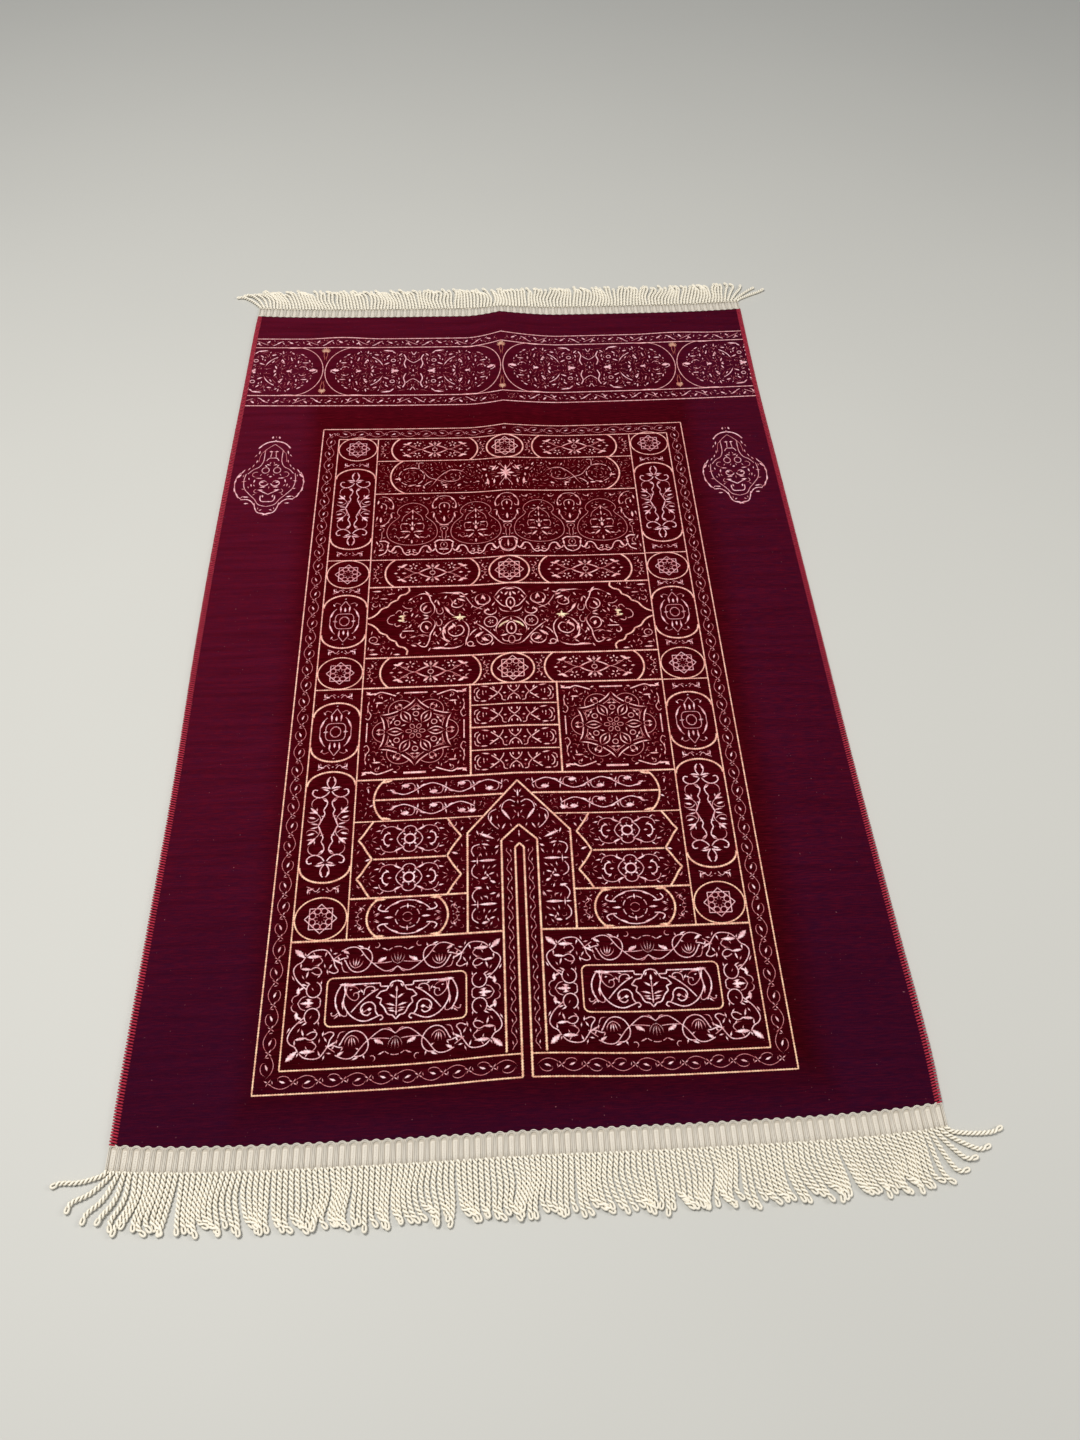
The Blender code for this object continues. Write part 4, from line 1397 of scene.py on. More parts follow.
# %% Draw the middle panel
PANEL_EDGE = (
    ((117, 42), (116, 36)), ((116, 36), (120, 31.5), (126.5, 29), (129.5, 22.5)),
    ((129.5, 22.5), (136.5, 18.5), (140, 12.5)), ((140, 12.5), (147, 9), (151, 3), (156, -2), (162, -5)),
)
panel_edge = [stem(GOLD_BROAD, *run) for run in PANEL_EDGE]
draw("gold_rows", over_line(panel_edge, -8.5))


def eye(y, wide, tall, pupil):
    """An eye on the crease: a dot in a ring, in a wider ring open at the sides."""
    return [pen(ring(0, y, wide, tall), 1.9), leaf(0, y - pupil / 2, 90, pupil, 2.6)]


upper = [
    stem(THIN, (131, 2), (127.6, 6.4), (124.4, 5), (125, 0.8), tip="z"),
    tendril(THIN, 117, 3, 60, 14, -290),
] + stems(
    THIN, ((132, 0), (137, -2), (140, -7.4)), ((123.5, 13.5), (119, 9.4), (112.5, 9)),
    ((84.6, 8), (84, 1.4), (80, -0.6), (77, 3), (78.6, 9)),
    ((50.6, 23.4), (46.4, 15.4), (41.6, 9), (32.4, 4.6)),
) + stems(
    1.8,
    ((112.6, 24.6), (105, 29.8), (98.6, 31.2), (93.6, 27.6), (91, 19.4), (87, 11), (87.2, 3), (92, -4.4)),
    ((83.4, 30.8), (76, 32), (67.6, 31.4), (58, 31.6), (53.4, 27.4), (52, 21)),
    ((30, 6.6), (29.6, -0.6), (23.6, -4.6), (17, -1.4), (16.6, 5)), tip="az",
) + stems(
    1.6, ((90.2, 17.4), (96.6, 17.4), (102, 13.4), (102.6, 6.4), (97, 1.4), (90.8, 4.4), (92, 10)),
    ((70.6, 24.6), (66.6, 17.4), (67, 11), (60.6, 8.6), (54.4, 12.4), (55.6, 18)),
    ((29.4, 28.4), (37, 27), (40.4, 20.4), (36.4, 13), (28.4, 12), (23.4, 17.6), (25.4, 25), (31.4, 27.4)),
    ((14, 7), (9.6, 0.6), (0, -2.4)), tip="az",
) + stems(
    BROAD, ((76.6, 12.4), (72.4, 4), (66.4, -2.6), (61.4, -5.4)),
    ((19.4, 20.6), (15.4, 27.4), (11, 33), (4, 36), (0, 36.2)),
    ((19.6, 23), (14.4, 14.6), (8.6, 7.6), (0, 4.6)), tip="az",
) + leaves(
    (114.6, 4, 120, 5, 2), (111, 2.4, -70, 7, 2.2), (93, 28.6, 52, 8.6, 3), (89.6, 27, 20, 6, 2.2),
    (112, 25, -40, 6.4, 2.6), (101.6, 26.4, -70, 5, 2), (97.6, 11.4, -70, 7, 3), (109.6, 17.6, 60, 5, 1.8),
    (105, 0, -50, 7, 2.2), (84.6, 21.6, -60, 6, 2.2), (81.4, 12.4, 75, 9, 2.6),
    (68, 31.4, 188, 11, 3.4, 10), (73, 27.4, -60, 6, 2.4), (59, 26.6, 196, 8, 3),
    (75.4, 10.4, -128, 12, 3.4, 12), (62.4, 21, -60, 7, 3), (61, 13.4, 30, 5, 2.2),
    (48.4, 29.6, -20, 6, 2.6), (43, 31.4, 60, 4.6, 2), (52, 3, 60, 6, 2), (32, 26, -110, 9, 3.8),
    (42.6, 12, -60, 6, 2), (38.6, 31.4, -10, 6, 2.2), (24.4, 1.6, 60, 5, 2.4), (20.6, 9.6, 120, 6, 2.2),
    (34, 0.6, -40, 6, 1.8), (12.4, 24.4, -60, 7, 2.6), (6.6, 24, 130, 7, 3), (18.6, 13.4, -60, 6, 2.4),
    (11, 30, -120, 5, 2.2),
)
lower = [
    pen([(122.4, -24.6), (109.6, -24.6)], 1.8),
    stem(BROAD, (57.6, -9), (51.4, -15), (48, -23), (48.6, -33), (51, -41), (50.6, -45), tip="a"),
    pen(ring(46.4, -46.2, 3.4), 1.5), pen(ring(23, -15, 7.4, 7.8), 1.5),
] + stems(
    THIN, ((140, -7.5), (138.6, -12.4), (133, -14.6)),
    ((84.6, -12), (83.6, -17.6), (79.4, -17), (78.4, -11.4), (80.8, -8)),
) + tendrils(THIN, (131, -13, -60, 10, -190), (118, -10, -60, 15, 290)) + stems(
    1.8, ((122, -24.8), (124.6, -30.4), (122.4, -34.4), (118.8, -32.6), (119.6, -29.4)),
    (
        (92, -4.4), (86.6, -11.4), (86.4, -19), (91, -30), (92, -38), (95.6, -47.6), (101, -47.4),
        (107, -42.6), (113.4, -45.4),
    ),
    (
        (70.6, -19), (71, -28.4), (64.6, -34), (56.4, -31.4), (53.4, -24.6), (57, -18.6), (62.4, -20),
        (63, -25.4),
    ),
    ((48, -36), (44, -29), (37.6, -23.6)),
    (
        (39.4, -34), (38.6, -42.6), (32.8, -48), (25, -46.4), (21.6, -40.4), (25, -34.4), (31, -34.4),
        (32.6, -39.4),
    ),
    tip="az",
) + stems(
    1.6,
    ((89.4, -27), (97.4, -27.6), (102.4, -21.4), (100.4, -13), (93.6, -11.4), (89.6, -17), (93.6, -21)),
    ((11, -38), (8.4, -44), (0, -46)), tip="az",
) + stems(
    2.2, ((62.4, -9), (70, -13.4), (75.4, -21), (77, -29.6), (74, -39.4), (67.6, -47)),
    ((87.4, -48.6), (79, -51), (66, -51.4), (56.6, -48.4), (53.4, -45)), tip="az",
) + stems(
    BROAD, ((45.6, -11.6), (34.4, -20.8), (24.4, -31), (15.4, -43), (9.6, -48.2), (0, -50.6)),
    ((15.6, -34), (17.4, -26.6), (14.4, -18), (8.6, -11.4), (0, -8.2)), tip="az",
) + put(rosette(5, 0.6, 3.8, 1.9), 23, -15) + leaves(
    (124, -15.4, -20, 6, 2.2), (116, -19, -30, 6, 1.8), (112.4, -14.6, -60, 7, 2.4),
    (105.6, -20, 120, 6, 2), (107, -32, -20, 8, 2.2), (112.4, -45, 200, 7, 3), (101, -41, -40, 6, 2.6),
    (95.6, -22.4, 80, 6, 2.8), (85.6, -26, -70, 7, 2.6), (90.4, -49.6, -60, 6, 2.2),
    (80.6, -20, -100, 7, 2.2), (83, -35, 60, 6, 2), (97.6, -33.4, 20, 6, 1.8), (76.8, -19.4, -102, 12, 3.6),
    (66.6, -14.6, -120, 8, 2.8), (68.6, -42.4, 32, 13, 3.2), (60.4, -37, -30, 6, 2.2),
    (74, -50, -4, 16, 3.8), (71, -44, -40, 6, 2.4), (81, -45.6, 60, 6, 2.2), (57.6, -13, 60, 6, 1.8),
    (50.6, -41.6, -80, 7, 2.2), (36.4, -31.4, -50, 8, 3.4), (28, -42, 60, 6, 3), (40, -49, -10, 6, 2),
    (38, -12, -60, 6, 2.2), (33.4, -27.4, 60, 6, 2), (41, -18, 80, 5, 1.8), (18, -30, 60, 5, 2),
    (8.4, -18.4, 150, 8, 3.6), (12.6, -36.6, 170, 9, 3), (20, -45, -60, 6, 2.2),
)
blossoms = [
    stem(THIN, (24, 19), (30, 11), (38, 6), (43.5, 2), tip="az"),
    pen([(74, -20), (83.7, -34.7)], THIN, "z"), stem(FINE, (93, -33), (101, -30.5), (108, -34), tip="z"),
] + leaves(
    (71.6, -26, 112, 13, 4.2, 50), (37.8, -36.5, 100, 10.5, 4, 70), (33.7, -37.5, 235, 10.5, 4.4, -50),
    (31.6, 27, -100, 8, 3.4, 60), (37.4, 18.5, -70, 8, 3.4, -60), (61.6, 22.4, 195, 11, 3.8, 20),
    (64, -17, -40, 7, 3.2, -50), (95.4, 13, -60, 7, 3.2, 40), (96, -17, 240, 7, 3.4, 40),
    (26, 4.4, -30, 7, 3.2, -30), (93, -3.6, 20, 8, 2.4), (93, -5.4, -20, 8, 2.4),
)
draw("blush_middle", upper + lower + blossoms)
draw(
    "blush_middle",
    eye(12, 4.8, 8.0, 6.5) + eye(-26, 5.4, 8.8, 7.0) + [
        pen(ring(0, -43, 3.6, 5.6), THIN), leaf(-6, 33.6, 0, 12, 3.4),
    ],
    mirrored=False,
)
draw(
    "blush_middle",
    [dot(0, -34.5, 3.2)] + leaves((0, 21.5, 90, 8, 3), (0, 5, -90, 5, 2.4), (0, -15.5, 90, 6, 2.2)),
    mirrored=False,
)
knots = [stem(3, (15, -25), (10.5, -19.5), (5.9, -16.8), (1.5, -15.6), tip="az")] + leaves(
    (127.5, -3, -8, -8.5, 4.2), (128.5, -8.2, 10, -8.5, 4.2), (122.5, -9, 90, 7.5, 3.8),
    (51, -6, 0, 16, 3.8), (58, -11, 90, 10.5, 4.4), (54, -10, 50, 8, 2.6), (62, -10, 130, 8, 2.6),
)
draw("knot_gold", knots)
corners = [
    tendril(THIN, 156, 18, -30, 13, -260), pen(ring(154.5, -36.5, 4.6), THIN),
] + tendrils(FINE, (152, 30, -120, 10, 200), (133, 33, -60, 7, 200), (143, -54, 0, 10, 200)) + leaves(
    (148, 36.4, 0, 11, 2.8), (140, 24.8, 0, 10, 2.2), (142, 31, 170, 8, 1.8), (136, 37, 70, 5, 1.6),
    (129, 36, 100, 5, 1.8), (125, 38, 60, 4, 1.5), (157, 29, -70, 6, 1.6), (150, 18, -100, 7, 1.5),
    (157, 8, 70, 5, 1.6), (144, 20, 200, 4, 1.4), (156, -23, -80, 7, 1.5), (146, -42.5, 0, 9, 2.2),
    (152, -50.5, 0, 7, 2.4), (148, -57, 0, 11, 3), (141, -50, 60, 6, 1.6), (136, -47, -60, 5, 1.6),
    (124, -58, 0, 8, 2.6), (133, -54, -70, 5, 1.6), (147, -34, 60, 5, 1.5), (159, -46, -80, 6, 1.5),
    (130, -51, 30, 4, 1.6),
)
draw("blush_middle", corners)
print(len(drawn["blush_middle"]), "strokes in the middle panel")

# %% [markdown]
# ### The medallion row
# Each side of the crease has a square with a six-pointed star medallion. Between the squares lie
# four narrow bars, each with a row of crossing arcs and dots.

# %% Draw the medallions and the bars
MEDAL = (104.8, -162.5)


def medallion():
    """A six-pointed star of thick strokes, with a lobe between its tips, and petals and rings inside."""
    sixth = across_line([
        stem(1.8, (0.3, 43.6), (5.4, 36.4), (13.6, 29.6), tip="a"),
        stem(FINE, (0, 37), (4, 31.4), (9.4, 27), tip="a"), leaf(0, 28.5, 0, 5.5, 2.4),
    ]) + [pen(arc(0, 30.4, 2.6, 3.2, 0, 180), FINE), pen(ring(0, 22.4, 3), THIN)]
    lobe = across_line([
        stem(1.6, (0, 12), (4.6, 20), (3.4, 26), (0, 30.5), tip="az"), leaf(4, 36.5, 120, 5.5, 2.4),
    ]) + [
        pen(arc(0, 31.5, 13.5, 13.5, 12, 168), FINE), pen(ring(0, 35.5, 2.8, 3.2), FINE),
        pen(ring(0, 7, 2.2, 3.2), FINE), leaf(0, 17, 90, 9, 2.2), leaf(4.2, 12.6, 10, 6, 1.8),
    ]
    figure = []
    for turn in range(0, 360, 60):
        figure += put(sixth, turn=turn) + put(lobe, turn=turn + 30)
    return figure + [pen(ring(0, 0, 1.8), FINE)]


square = [
    stem(1.9, (45, 49), (39, 52.5), (32, 51), (22, 47)), tendril(FINE, 38, 45, 0, 9, 220),
    stem(THIN, (51.5, 35), (50.5, 28), (47.5, 22.5), (50, 16.5), (53, 18.5)), pen([(51, 12), (51, 0)], 1.7),
] + leaves(
    (49, 49, 45, 7, 3.6), (49, 53, -35, 6, 3), (42, 51, -8, 11, 2.8), (17.5, 51.5, -20, 5, 2.4),
    (44, 38.2, 180, 10, 2.6), (41, 38, -80, 7, 1.8), (36, 43, 70, 5, 1.8), (44, 45, -70, 6, 1.5),
    (28, 42, 100, 4, 1.5), (50, 41, -80, 7, 1.8), (50.5, 31, -80, 6, 1.8), (30, 42.5, -30, 6, 1.6),
    (25, 44, -100, 4, 1.5),
)
draw("blush_medallions", put(medallion() + fourfold(square), *MEDAL))
draw("blush_medallions", [pen([(93, -111.8), (118, -111.8)], 2.4), pen([(93, -214.6), (116, -214.6)], 3.2)])
draw("gold_niche", [pen([(47, -103), (47, -222)], GOLD_BROAD)])
bar_cross = [leaf(-3, 6.5, 90, 4, 2.6), leaf(-3, -9.2, 90, 4, 2.6)] + stems(
    1.5, ((-6.4, 9.8), (-4.4, 5), (0, 0.8)), ((-6.8, -9.8), (-4.6, -4.5), (0, -0.8)),
)
bar_end = [stem(1.5, (37, 6), (40, 1), (39, -4.5), (36.5, -6))] + stems(
    1.4, ((16.6, 1), (13.2, -4), (12.4, -9), (8.8, -10.2)), ((17.2, 0.4), (13.6, 6), (12.6, 9.8)),
    ((38.5, 8.5), (42, 6.5), (42.6, 2)), ((42.6, -3), (41.6, -8), (38, -9.6)),
) + stems(1.7, ((17.6, 0.6), (21, 4), (25.5, 7.5)), ((17.6, -0.6), (22, -4), (27, -8))) + leaves(
    (8.2, 0, 0, 3.6, 3), (20.5, 5.5, 60, 5, 2.4), (22, -4, 10, 5, 2), (27, 9.4, 10, 9, 2.2),
    (29, -9.8, 0, 8, 2.2), (33.5, 5, -90, 4, 1.8), (33, -2, 80, 4, 1.8), (30, 1, 90, 3.5, 1.6),
)
BAR_LEVELS = (-117.6, -147.2, -176.6, -206.2)
for number, level in enumerate(BAR_LEVELS):
    draw("blush_medallions", put(bar_cross, 0, level) + put(bar_end, 0, level))
    if number < 3:
        draw("gold_niche", [pen([(0, level - 14.8), (47, level - 14.8)], (GOLD, GOLD_BROAD, GOLD)[number])])
print(len(drawn["blush_medallions"]), "strokes in the medallion row")

# %% [markdown]
# ### The niche
# The niche is a gable within a gable round the crease, down to the near frame. Its long panels
# stand beside it: a leafy vine, two pointed cartouches and one rounded cartouche.

# %% Draw the niche and its panels
POINTED_ROWS, ROUND_ROW = (-292.0, -334.3), -375.8
ROUND_REACH = 23.5

draw(
    "gold_niche",
    [
        pen([(0, -231), (50.8, -289.6), (51, COLUMN_FOOT)], GOLD_BROAD),
        pen([(0, -283), (17.6, -300), (17.6, -514)], GOLD_BROAD),
        pen([(0, -304), (SLIT, -308.5), (SLIT, FRAME_BOTTOM)], GOLD_BROAD),
        pen([(17.6, COLUMN_FOOT), (FRAME_IN, COLUMN_FOOT)], GOLD_BROAD),
        pen([(14.5, -246.3), (144, -246.3)], 2.9),
        pen(arc(112.7, -246.3, 31.8, 31.8, -50, 50), GOLD_BROAD), leaf(126, -223.5, -12, 13, 4.4),
        leaf(126, -269.5, 12, 13, 4), pen([(72, -313.6), (142, -313.6)], 2.8),
        pen([(51, -355), (COLUMN_IN, -355)], 2.8),
    ],
)
for level in POINTED_ROWS:
    tips = stems(
        GOLD_BROAD, ((143.5, level + 21), (149, level + 12.5), (153, level + 5.5), (157.3, level)),
        ((70.5, level + 21), (65.5, level + 12), (61, level + 5.5), (57, level)),
    )
    draw("gold_niche", over_line(tips, level))
side_lean = math.degrees(math.asin(20.5 / ROUND_REACH))
for at, facing in ((122, 0), (93, 180)):
    end = arc(at, ROUND_ROW, ROUND_REACH, ROUND_REACH, facing - side_lean, facing + side_lean)
    draw("gold_niche", [pen(end, GOLD_BROAD)])
draw("gold_niche", [leaf(at, level, 0, 12, 3.8) for at in (75, 128) for level in (-357, -394.5)])


def vine_leaf(x, y, way):
    """One bend of the niche's vine: a stem with a crossing sprig, and a tendril with a filled leaf."""
    bend = [
        stem(1.7, (0, 0), (6, 3.6), (14, 6.2), (22, 4), (28.4, 0)),
        stem(THIN, (4, 3), (3.2, -2.5), (6, -6.4), (11, -6.2)),
    ] + leaves(
        (20, 5.4, -20, 8, 2.2), (8.5, -3.8, -4, 8.6, 7.6), (15.5, -3.4, 70, 4, 1.8),
        (0.5, 0.5, 98, 6.5, 2.2), (-0.5, -0.5, -70, 6.5, 2.2), (28, 1, -10, 4, 1.6),
    )
    return put(scaled(bend, 1, way), x, y)


for number, at in enumerate((15.5, 43.7, 72, 100.3)):
    way = (-1) ** number
    draw("pale_niche", vine_leaf(at, -234.5, way))
    if number:
        draw("pale_niche", vine_leaf(at, -258.6, -way))
draw("pale_niche", put(leaves((8.5, -3.8, -4, 8.6, 7.6), (15.5, -3.4, 70, 4, 1.8)), 33.5, -259.5))
# The loose scrolls and leaves at the ends of the vine and round the cartouches
draw(
    "pale_niche",
    tendrils(
        THIN, (128, -235, 150, 10, 200), (128.5, -258, -150, 10, -200), (9, -232.5, 100, 8, -200),
        (62, -276, -120, 22, 330, 0.9),
    ) + tendrils(
        FINE, (152, -233, 60, 7, 200), (151, -243, -70, 7, -150), (152, -340, -100, 8, 160),
    ) + leaves(
        (150, -238, 80, 7, 2.2), (149, -254, 150, 6, 2.6), (151, -259, -70, 6, 1.5),
        (55, -282, -60, 5, 2.6), (47.5, -275, 60, 6, 1.4), (60, -312, 20, 7, 3.4), (150, -315, 160, 6, 2.8),
        (156, -322, 70, 5, 1.5), (156, -303, -60, 5, 1.5), (60, -324, -70, 5, 1.5), (154, -345, 60, 6, 1.5),
        (61, -346, 70, 5, 1.4), (64, -350, 10, 5, 1.6), (56, -305, 80, 5, 1.4),
    ),
)


def pointed_inside():
    """The inside of a pointed cartouche: a rayed ring in a four-lobed knot, with side scrolls."""
    quarter = [
        stem(THIN, (6, 8.6), (12, 12.6), (19, 14.4), (26, 12), (28.6, 6.6)),
        stem(2, (19.6, 7), (24, 5.4), (25.8, 0)),
    ] + stems(
        1.5, ((0, 14.6), (4, 13.4), (6.6, 9.6), (5.4, 7.8)), ((5.4, 9.6), (10.4, 5), (12.6, 0)),
    ) + leaves(
        (3.6, 3.6, 45, 4.4, 2.6), (0, 5.4, 90, 3.6, 2.2), (5.4, 0, 0, 3.4, 2.2), (8, 9.6, 30, 9, 3),
        (23, 13.6, 40, 6, 2), (28, 10.4, -10, 6, 2.4), (13, 12, 100, 5, 1.6), (19, 5.4, 45, 5.4, 2.4),
        (32, 3.6, -30, 6, 1.4), (38, 4, 120, 4, 1.3), (30, 15, 150, 4, 1.4),
    )
    return fourfold(quarter) + across_line([leaf(16.4, 0, 0, 4.4, 2.8), leaf(25, 0, 0, 3.4, 2.6)]) + [
        pen(ring(0, 0, 5.2), 2.4),
    ]


for level in POINTED_ROWS:
    draw("pale_niche", put(pointed_inside(), 107.2, level))
almond = [
    stem(1.6, (0, 17.4), (9, 16), (17.5, 11), (21.5, 6.8)),
    stem(1.9, (18, 6.4), (24, 6.8), (27.6, 9.4), (25, 13.4)), pen(arc(0, 0, 11.4, 11.4, 10, 40), 1.5),
    pen(arc(0, 0, 11.4, 11.4, 52, 80), 1.5), pen(arc(0, 0, 4.6, 4.6, 20, 160), FINE),
] + leaves((7, 16, -22, 11, 2.4), (26, 5, -20, 6, 1.8), (31, 1.2, 150, 6, 1.4))
draw(
    "pale_niche",
    put(
        fourfold(almond) + across_line([leaf(13, 0, 0, 9, 3.2)]) + over_line([
            leaf(0, 8.6, 90, 5.6, 2.8), leaf(-2.4, 11.2, 0, 4.8, 1.8),
        ]),
        107.4, ROUND_ROW,
    ),
)
draw("pale_niche", put(side_sprig(31), 152, ROUND_ROW) + put(side_sprig(31), 62.6, ROUND_ROW, turn=180))
for at, turn in ((153, 200), (61.5, -200)):
    draw("pale_niche", put(over_line([tendril(THIN, 0, 8, 80, 9, turn)]), at, ROUND_ROW))

# %% [markdown]
# Between the two gables a spray of leaves climbs each side, with feathered leaves across
# it. A thin chain of links runs up the slit beside the crease.

# %% Draw the niche's leaves
spray = [stem(1.6, (39, -303), (45, -305), (47, -310), (44.5, -316))] + leaves(
    (39.5, -290.5, 206, 17, 4.4), (42, -287, -110, 7, 2), (35, -288, -60, 7, 1.8), (34, -295, 150, 8, 1.6),
    (47, -291.5, -20, 6, 1.8), (37, -302.6, 195, 8, 3), (24.5, -308, 150, 5.5, 3.2), (33, -309, 60, 5, 1.8),
    (22, -301, 130, 5, 1.5), (38, -313, -60, 4.5, 1.5), (29, -300, 20, 4.5, 1.6),
)
feathered = [stem(1.6, (43.5, -4), (46.6, -9), (46, -15), (41, -19))] + leaves(
    (23, 0, 0, 18, 4.2), (41.5, 0, 0, 6.5, 2.4), (41.4, -5, 90, 10, 1.8), (37, 4.4, 70, 5, 1.6),
    (32, 4.8, 80, 5, 1.5), (24, 5.6, 120, 7, 1.8), (35, -4, -80, 5.4, 1.8), (29, -6, -50, 5, 1.6),
    (23, -5, -40, 6, 1.8), (38, -19.5, 170, 7, 3.8), (25, -13.4, -20, 6, 2.6), (33, -11, -70, 5, 2),
    (30.5, -18, 60, 5, 2.2), (22, -18.6, 80, 4, 1.6),
)
between = [stem(1.6, (38, -349.6), (44, -353), (46.6, -359), (43.5, -365.4))] + leaves(
    (24, -346, 30, 6, 4), (37, -351, 10, 8, 3.8), (31, -353, 70, 5, 2.2), (24, -356.4, -10, 6, 2.8),
    (36, -359, 200, 5, 1.8), (22, -362, 110, 5, 1.6), (29, -343, 80, 4.5, 1.6), (30, -390, 120, 5, 1.6),
    (40, -393, 30, 5, 1.5),
)
draw("pale_niche", spray + put(feathered, 0, -321.2) + put(feathered, 0, -367.8) + between)
top_leaves = [
    stem(1.6, (16.5, -264), (14.5, -257.5), (8.5, -254), (3, -257)),
    stem(1.5, (22, -264), (28.6, -268), (29.6, -275), (24.5, -283), (20, -287)),
] + leaves(
    (1.2, -246, 60, 6, 1.8), (2.2, -251, 10, 4, 1.6), (17, -264, -124, 16, 4.2), (19, -262.6, 120, 6, 1.8),
    (3, -262, 20, 5, 1.5), (2, -270, 60, 5, 1.6), (6, -276, 130, 4, 1.5), (26.6, -271, -80, 9, 2.6),
    (21, -271, -90, 5, 1.6), (13, -281, -60, 8, 2.4), (20.5, -281, -110, 5, 1.8), (8.5, -281, -110, 5, 1.6),
    (33, -279, -50, 6, 1.5),
)
draw("pale_niche", top_leaves)
draw(
    "pale_niche",
    leaves(
        (0, -251, 90, 10, 2.6), (0, -259, 90, 5, 1.8), (0, -275, 90, 7, 1.8), (0, -297, 90, 6, 2),
        (0, -292.6, 90, 3.4, 1.8),
    ),
    mirrored=False,
)
chain = []
for link, level in enumerate(np.arange(-309.0, -508.0, -10.2)):
    way = (-1) ** link
    chain += [
        stem(
            FINE, (10.6 + 1.8 * way, level), (10.6 + 2.4 * way, level - 3), (10.6, level - 6),
            (10.6 - 1.8 * way, level - 9.4),
        ),
        leaf(10.6 - 1.6 * way, level - 1, -100, 4.6, 1.6),
    ]
draw("pale_niche", chain + [leaf(5.5, -302.5, 20, 5, 1.4)])
print(len(drawn["pale_niche"]), "strokes in the niche")

# %% [markdown]
# At the near end, each side of the slit has a wide oblong with its own gold frame. Inside lies
# half of an oval arabesque; round it run scrolls with tulips and square-ended leaves.

# %% Draw the near oblongs
OBLONG, OBLONG_ROW = 115.0, -456.0
FRAME_CORNER = 5.5


def gold_oblong(half_long, high, low):
    """A rounded frame about the middle line."""
    places = []
    for x, y, start in ((half_long, high, 90), (half_long, low, 0)):
        bend = arc(
            x - FRAME_CORNER, y + (-1 if start else 1) * FRAME_CORNER, FRAME_CORNER, FRAME_CORNER, start,
            start - 90,
        )
        places.append(bend)
    side = np.concatenate(places)
    return across_line([pen(np.concatenate([[(0, high)], side, [(0, low)]]), 2.1)])


draw("gold_niche", put(gold_oblong(62.5, -433.6, -478.7), OBLONG))
arabesque = [
    pen([(50.5, 15.8), (14.8, 15.8)], 1.9), dot(57.2, -10.4, 2.2),
    stem(1.7, (39.8, -10.4), (32, -1.2), (23.4, 6.2), (16.6, 10.2)), dot(41, 10.8, 2.8),
    stem(FINE, (42.8, 13.2), (37.4, 13.4), (33.4, 9.8), tip="az"),
    stem(1.5, (29.4, 5.4), (28.6, 10.4), (25.4, 12.9), (20.8, 12.4), (19.6, 9.4), (22.8, 8.8)),
    dot(23.8, -8.4, 4.6), stem(THIN, (26, -9), (29.4, -10.8), (33.2, -11.2), tip="z"),
    pen(
        [
            (15.1, 16), (14.6, 12.6), (7.2, 12.4), (9, 8.8), (14.4, 7.6), (18.2, 2.8), (13.2, 0.8),
            (14.6, -3.6),
        ],
        1.8,
    ),
    stem(2, (6.4, 12.2), (4.8, 15.8), (0, 17.4)),
] + stems(
    1.9, ((50, 15), (53, 9.3), (54.4, 3.5), (53.8, -3.8), (51, -9.6), (49.2, -13.6)),
    ((14.6, -3.6), (10.8, -7.6), (8.6, -12.2), (6.2, -14.4), (3.4, -14.8), (0, -18.6)),
) + stems(
    THIN, ((51, -9.6), (53.4, -12.4), (56.4, -13), (57.4, -10.8)),
    ((50, -11), (46.6, -13.6), (43.6, -13.2), (43.4, -10.4)),
    ((44.6, 13.4), (44.8, 7.4), (41, 2.2), (36.6, 0.4), (33.8, 3.2), (34.6, 7.4), (38, 7.2), (38.4, 4.8)),
) + stems(
    1.8,
    (
        (46.8, 14.4), (46, 7.8), (47.2, 0.6), (45.4, -5.8), (40.4, -13), (33.4, -17.8), (26.4, -19),
        (19.4, -16.6), (13.6, -14.2), (11.4, -17.2), (14.2, -18.8),
    ),
    (
        (15.6, -14.6), (18.2, -10.4), (18.8, -5.4), (22.6, -1.8), (28, -2.6), (31.4, -6.8), (30, -12),
        (25.4, -14), (22.4, -11.4),
    ),
) + leaves(
    (51.5, 16.2, 186, 15, 5), (47, 14, -105, 9, 2.6), (52.6, -7, 75, 7, 2.4), (50.4, -12, -40, 6, 2.2),
    (48, 1, -95, 9, 2.8), (35.4, 7.6, 150, 4.4, 2), (30, 7, 60, 5, 2), (26, 13.2, 20, 5, 1.8),
    (30.4, -11.6, 100, 5, 2), (3.2, 15, -60, 5, 2.2), (0.6, 0.6, 42, 8, 2.6, -15),
    (0.8, -6.6, 28, 10, 2.5, -25), (0.8, -12, 30, 7, 2.4, -30), (1.2, -8.2, -10, 8, 1.8, 25),
    (4.4, -6, 60, 3.6, 1.4),
)
inner = across_line(arabesque) + [
    leaf(0, 6, 90, 6.4, 3.4), pen([(0, 6), (0, -15)], 1.5), leaf(0, -14.6, 90, 5, 2.4),
]


def tulip(tall=11.0):
    """A tulip of thin petals that opens upwards."""
    half = [
        stem(THIN, (0, 0), (3.4, 1.6), (5.6, tall * 0.5), (6.2, tall * 0.82), tip="z"),
        leaf(1, 1.6, 66, tall * 0.86, 1.6, 18),
    ]
    return across_line(half) + [leaf(0, 0.6, 90, tall, 1.7)]


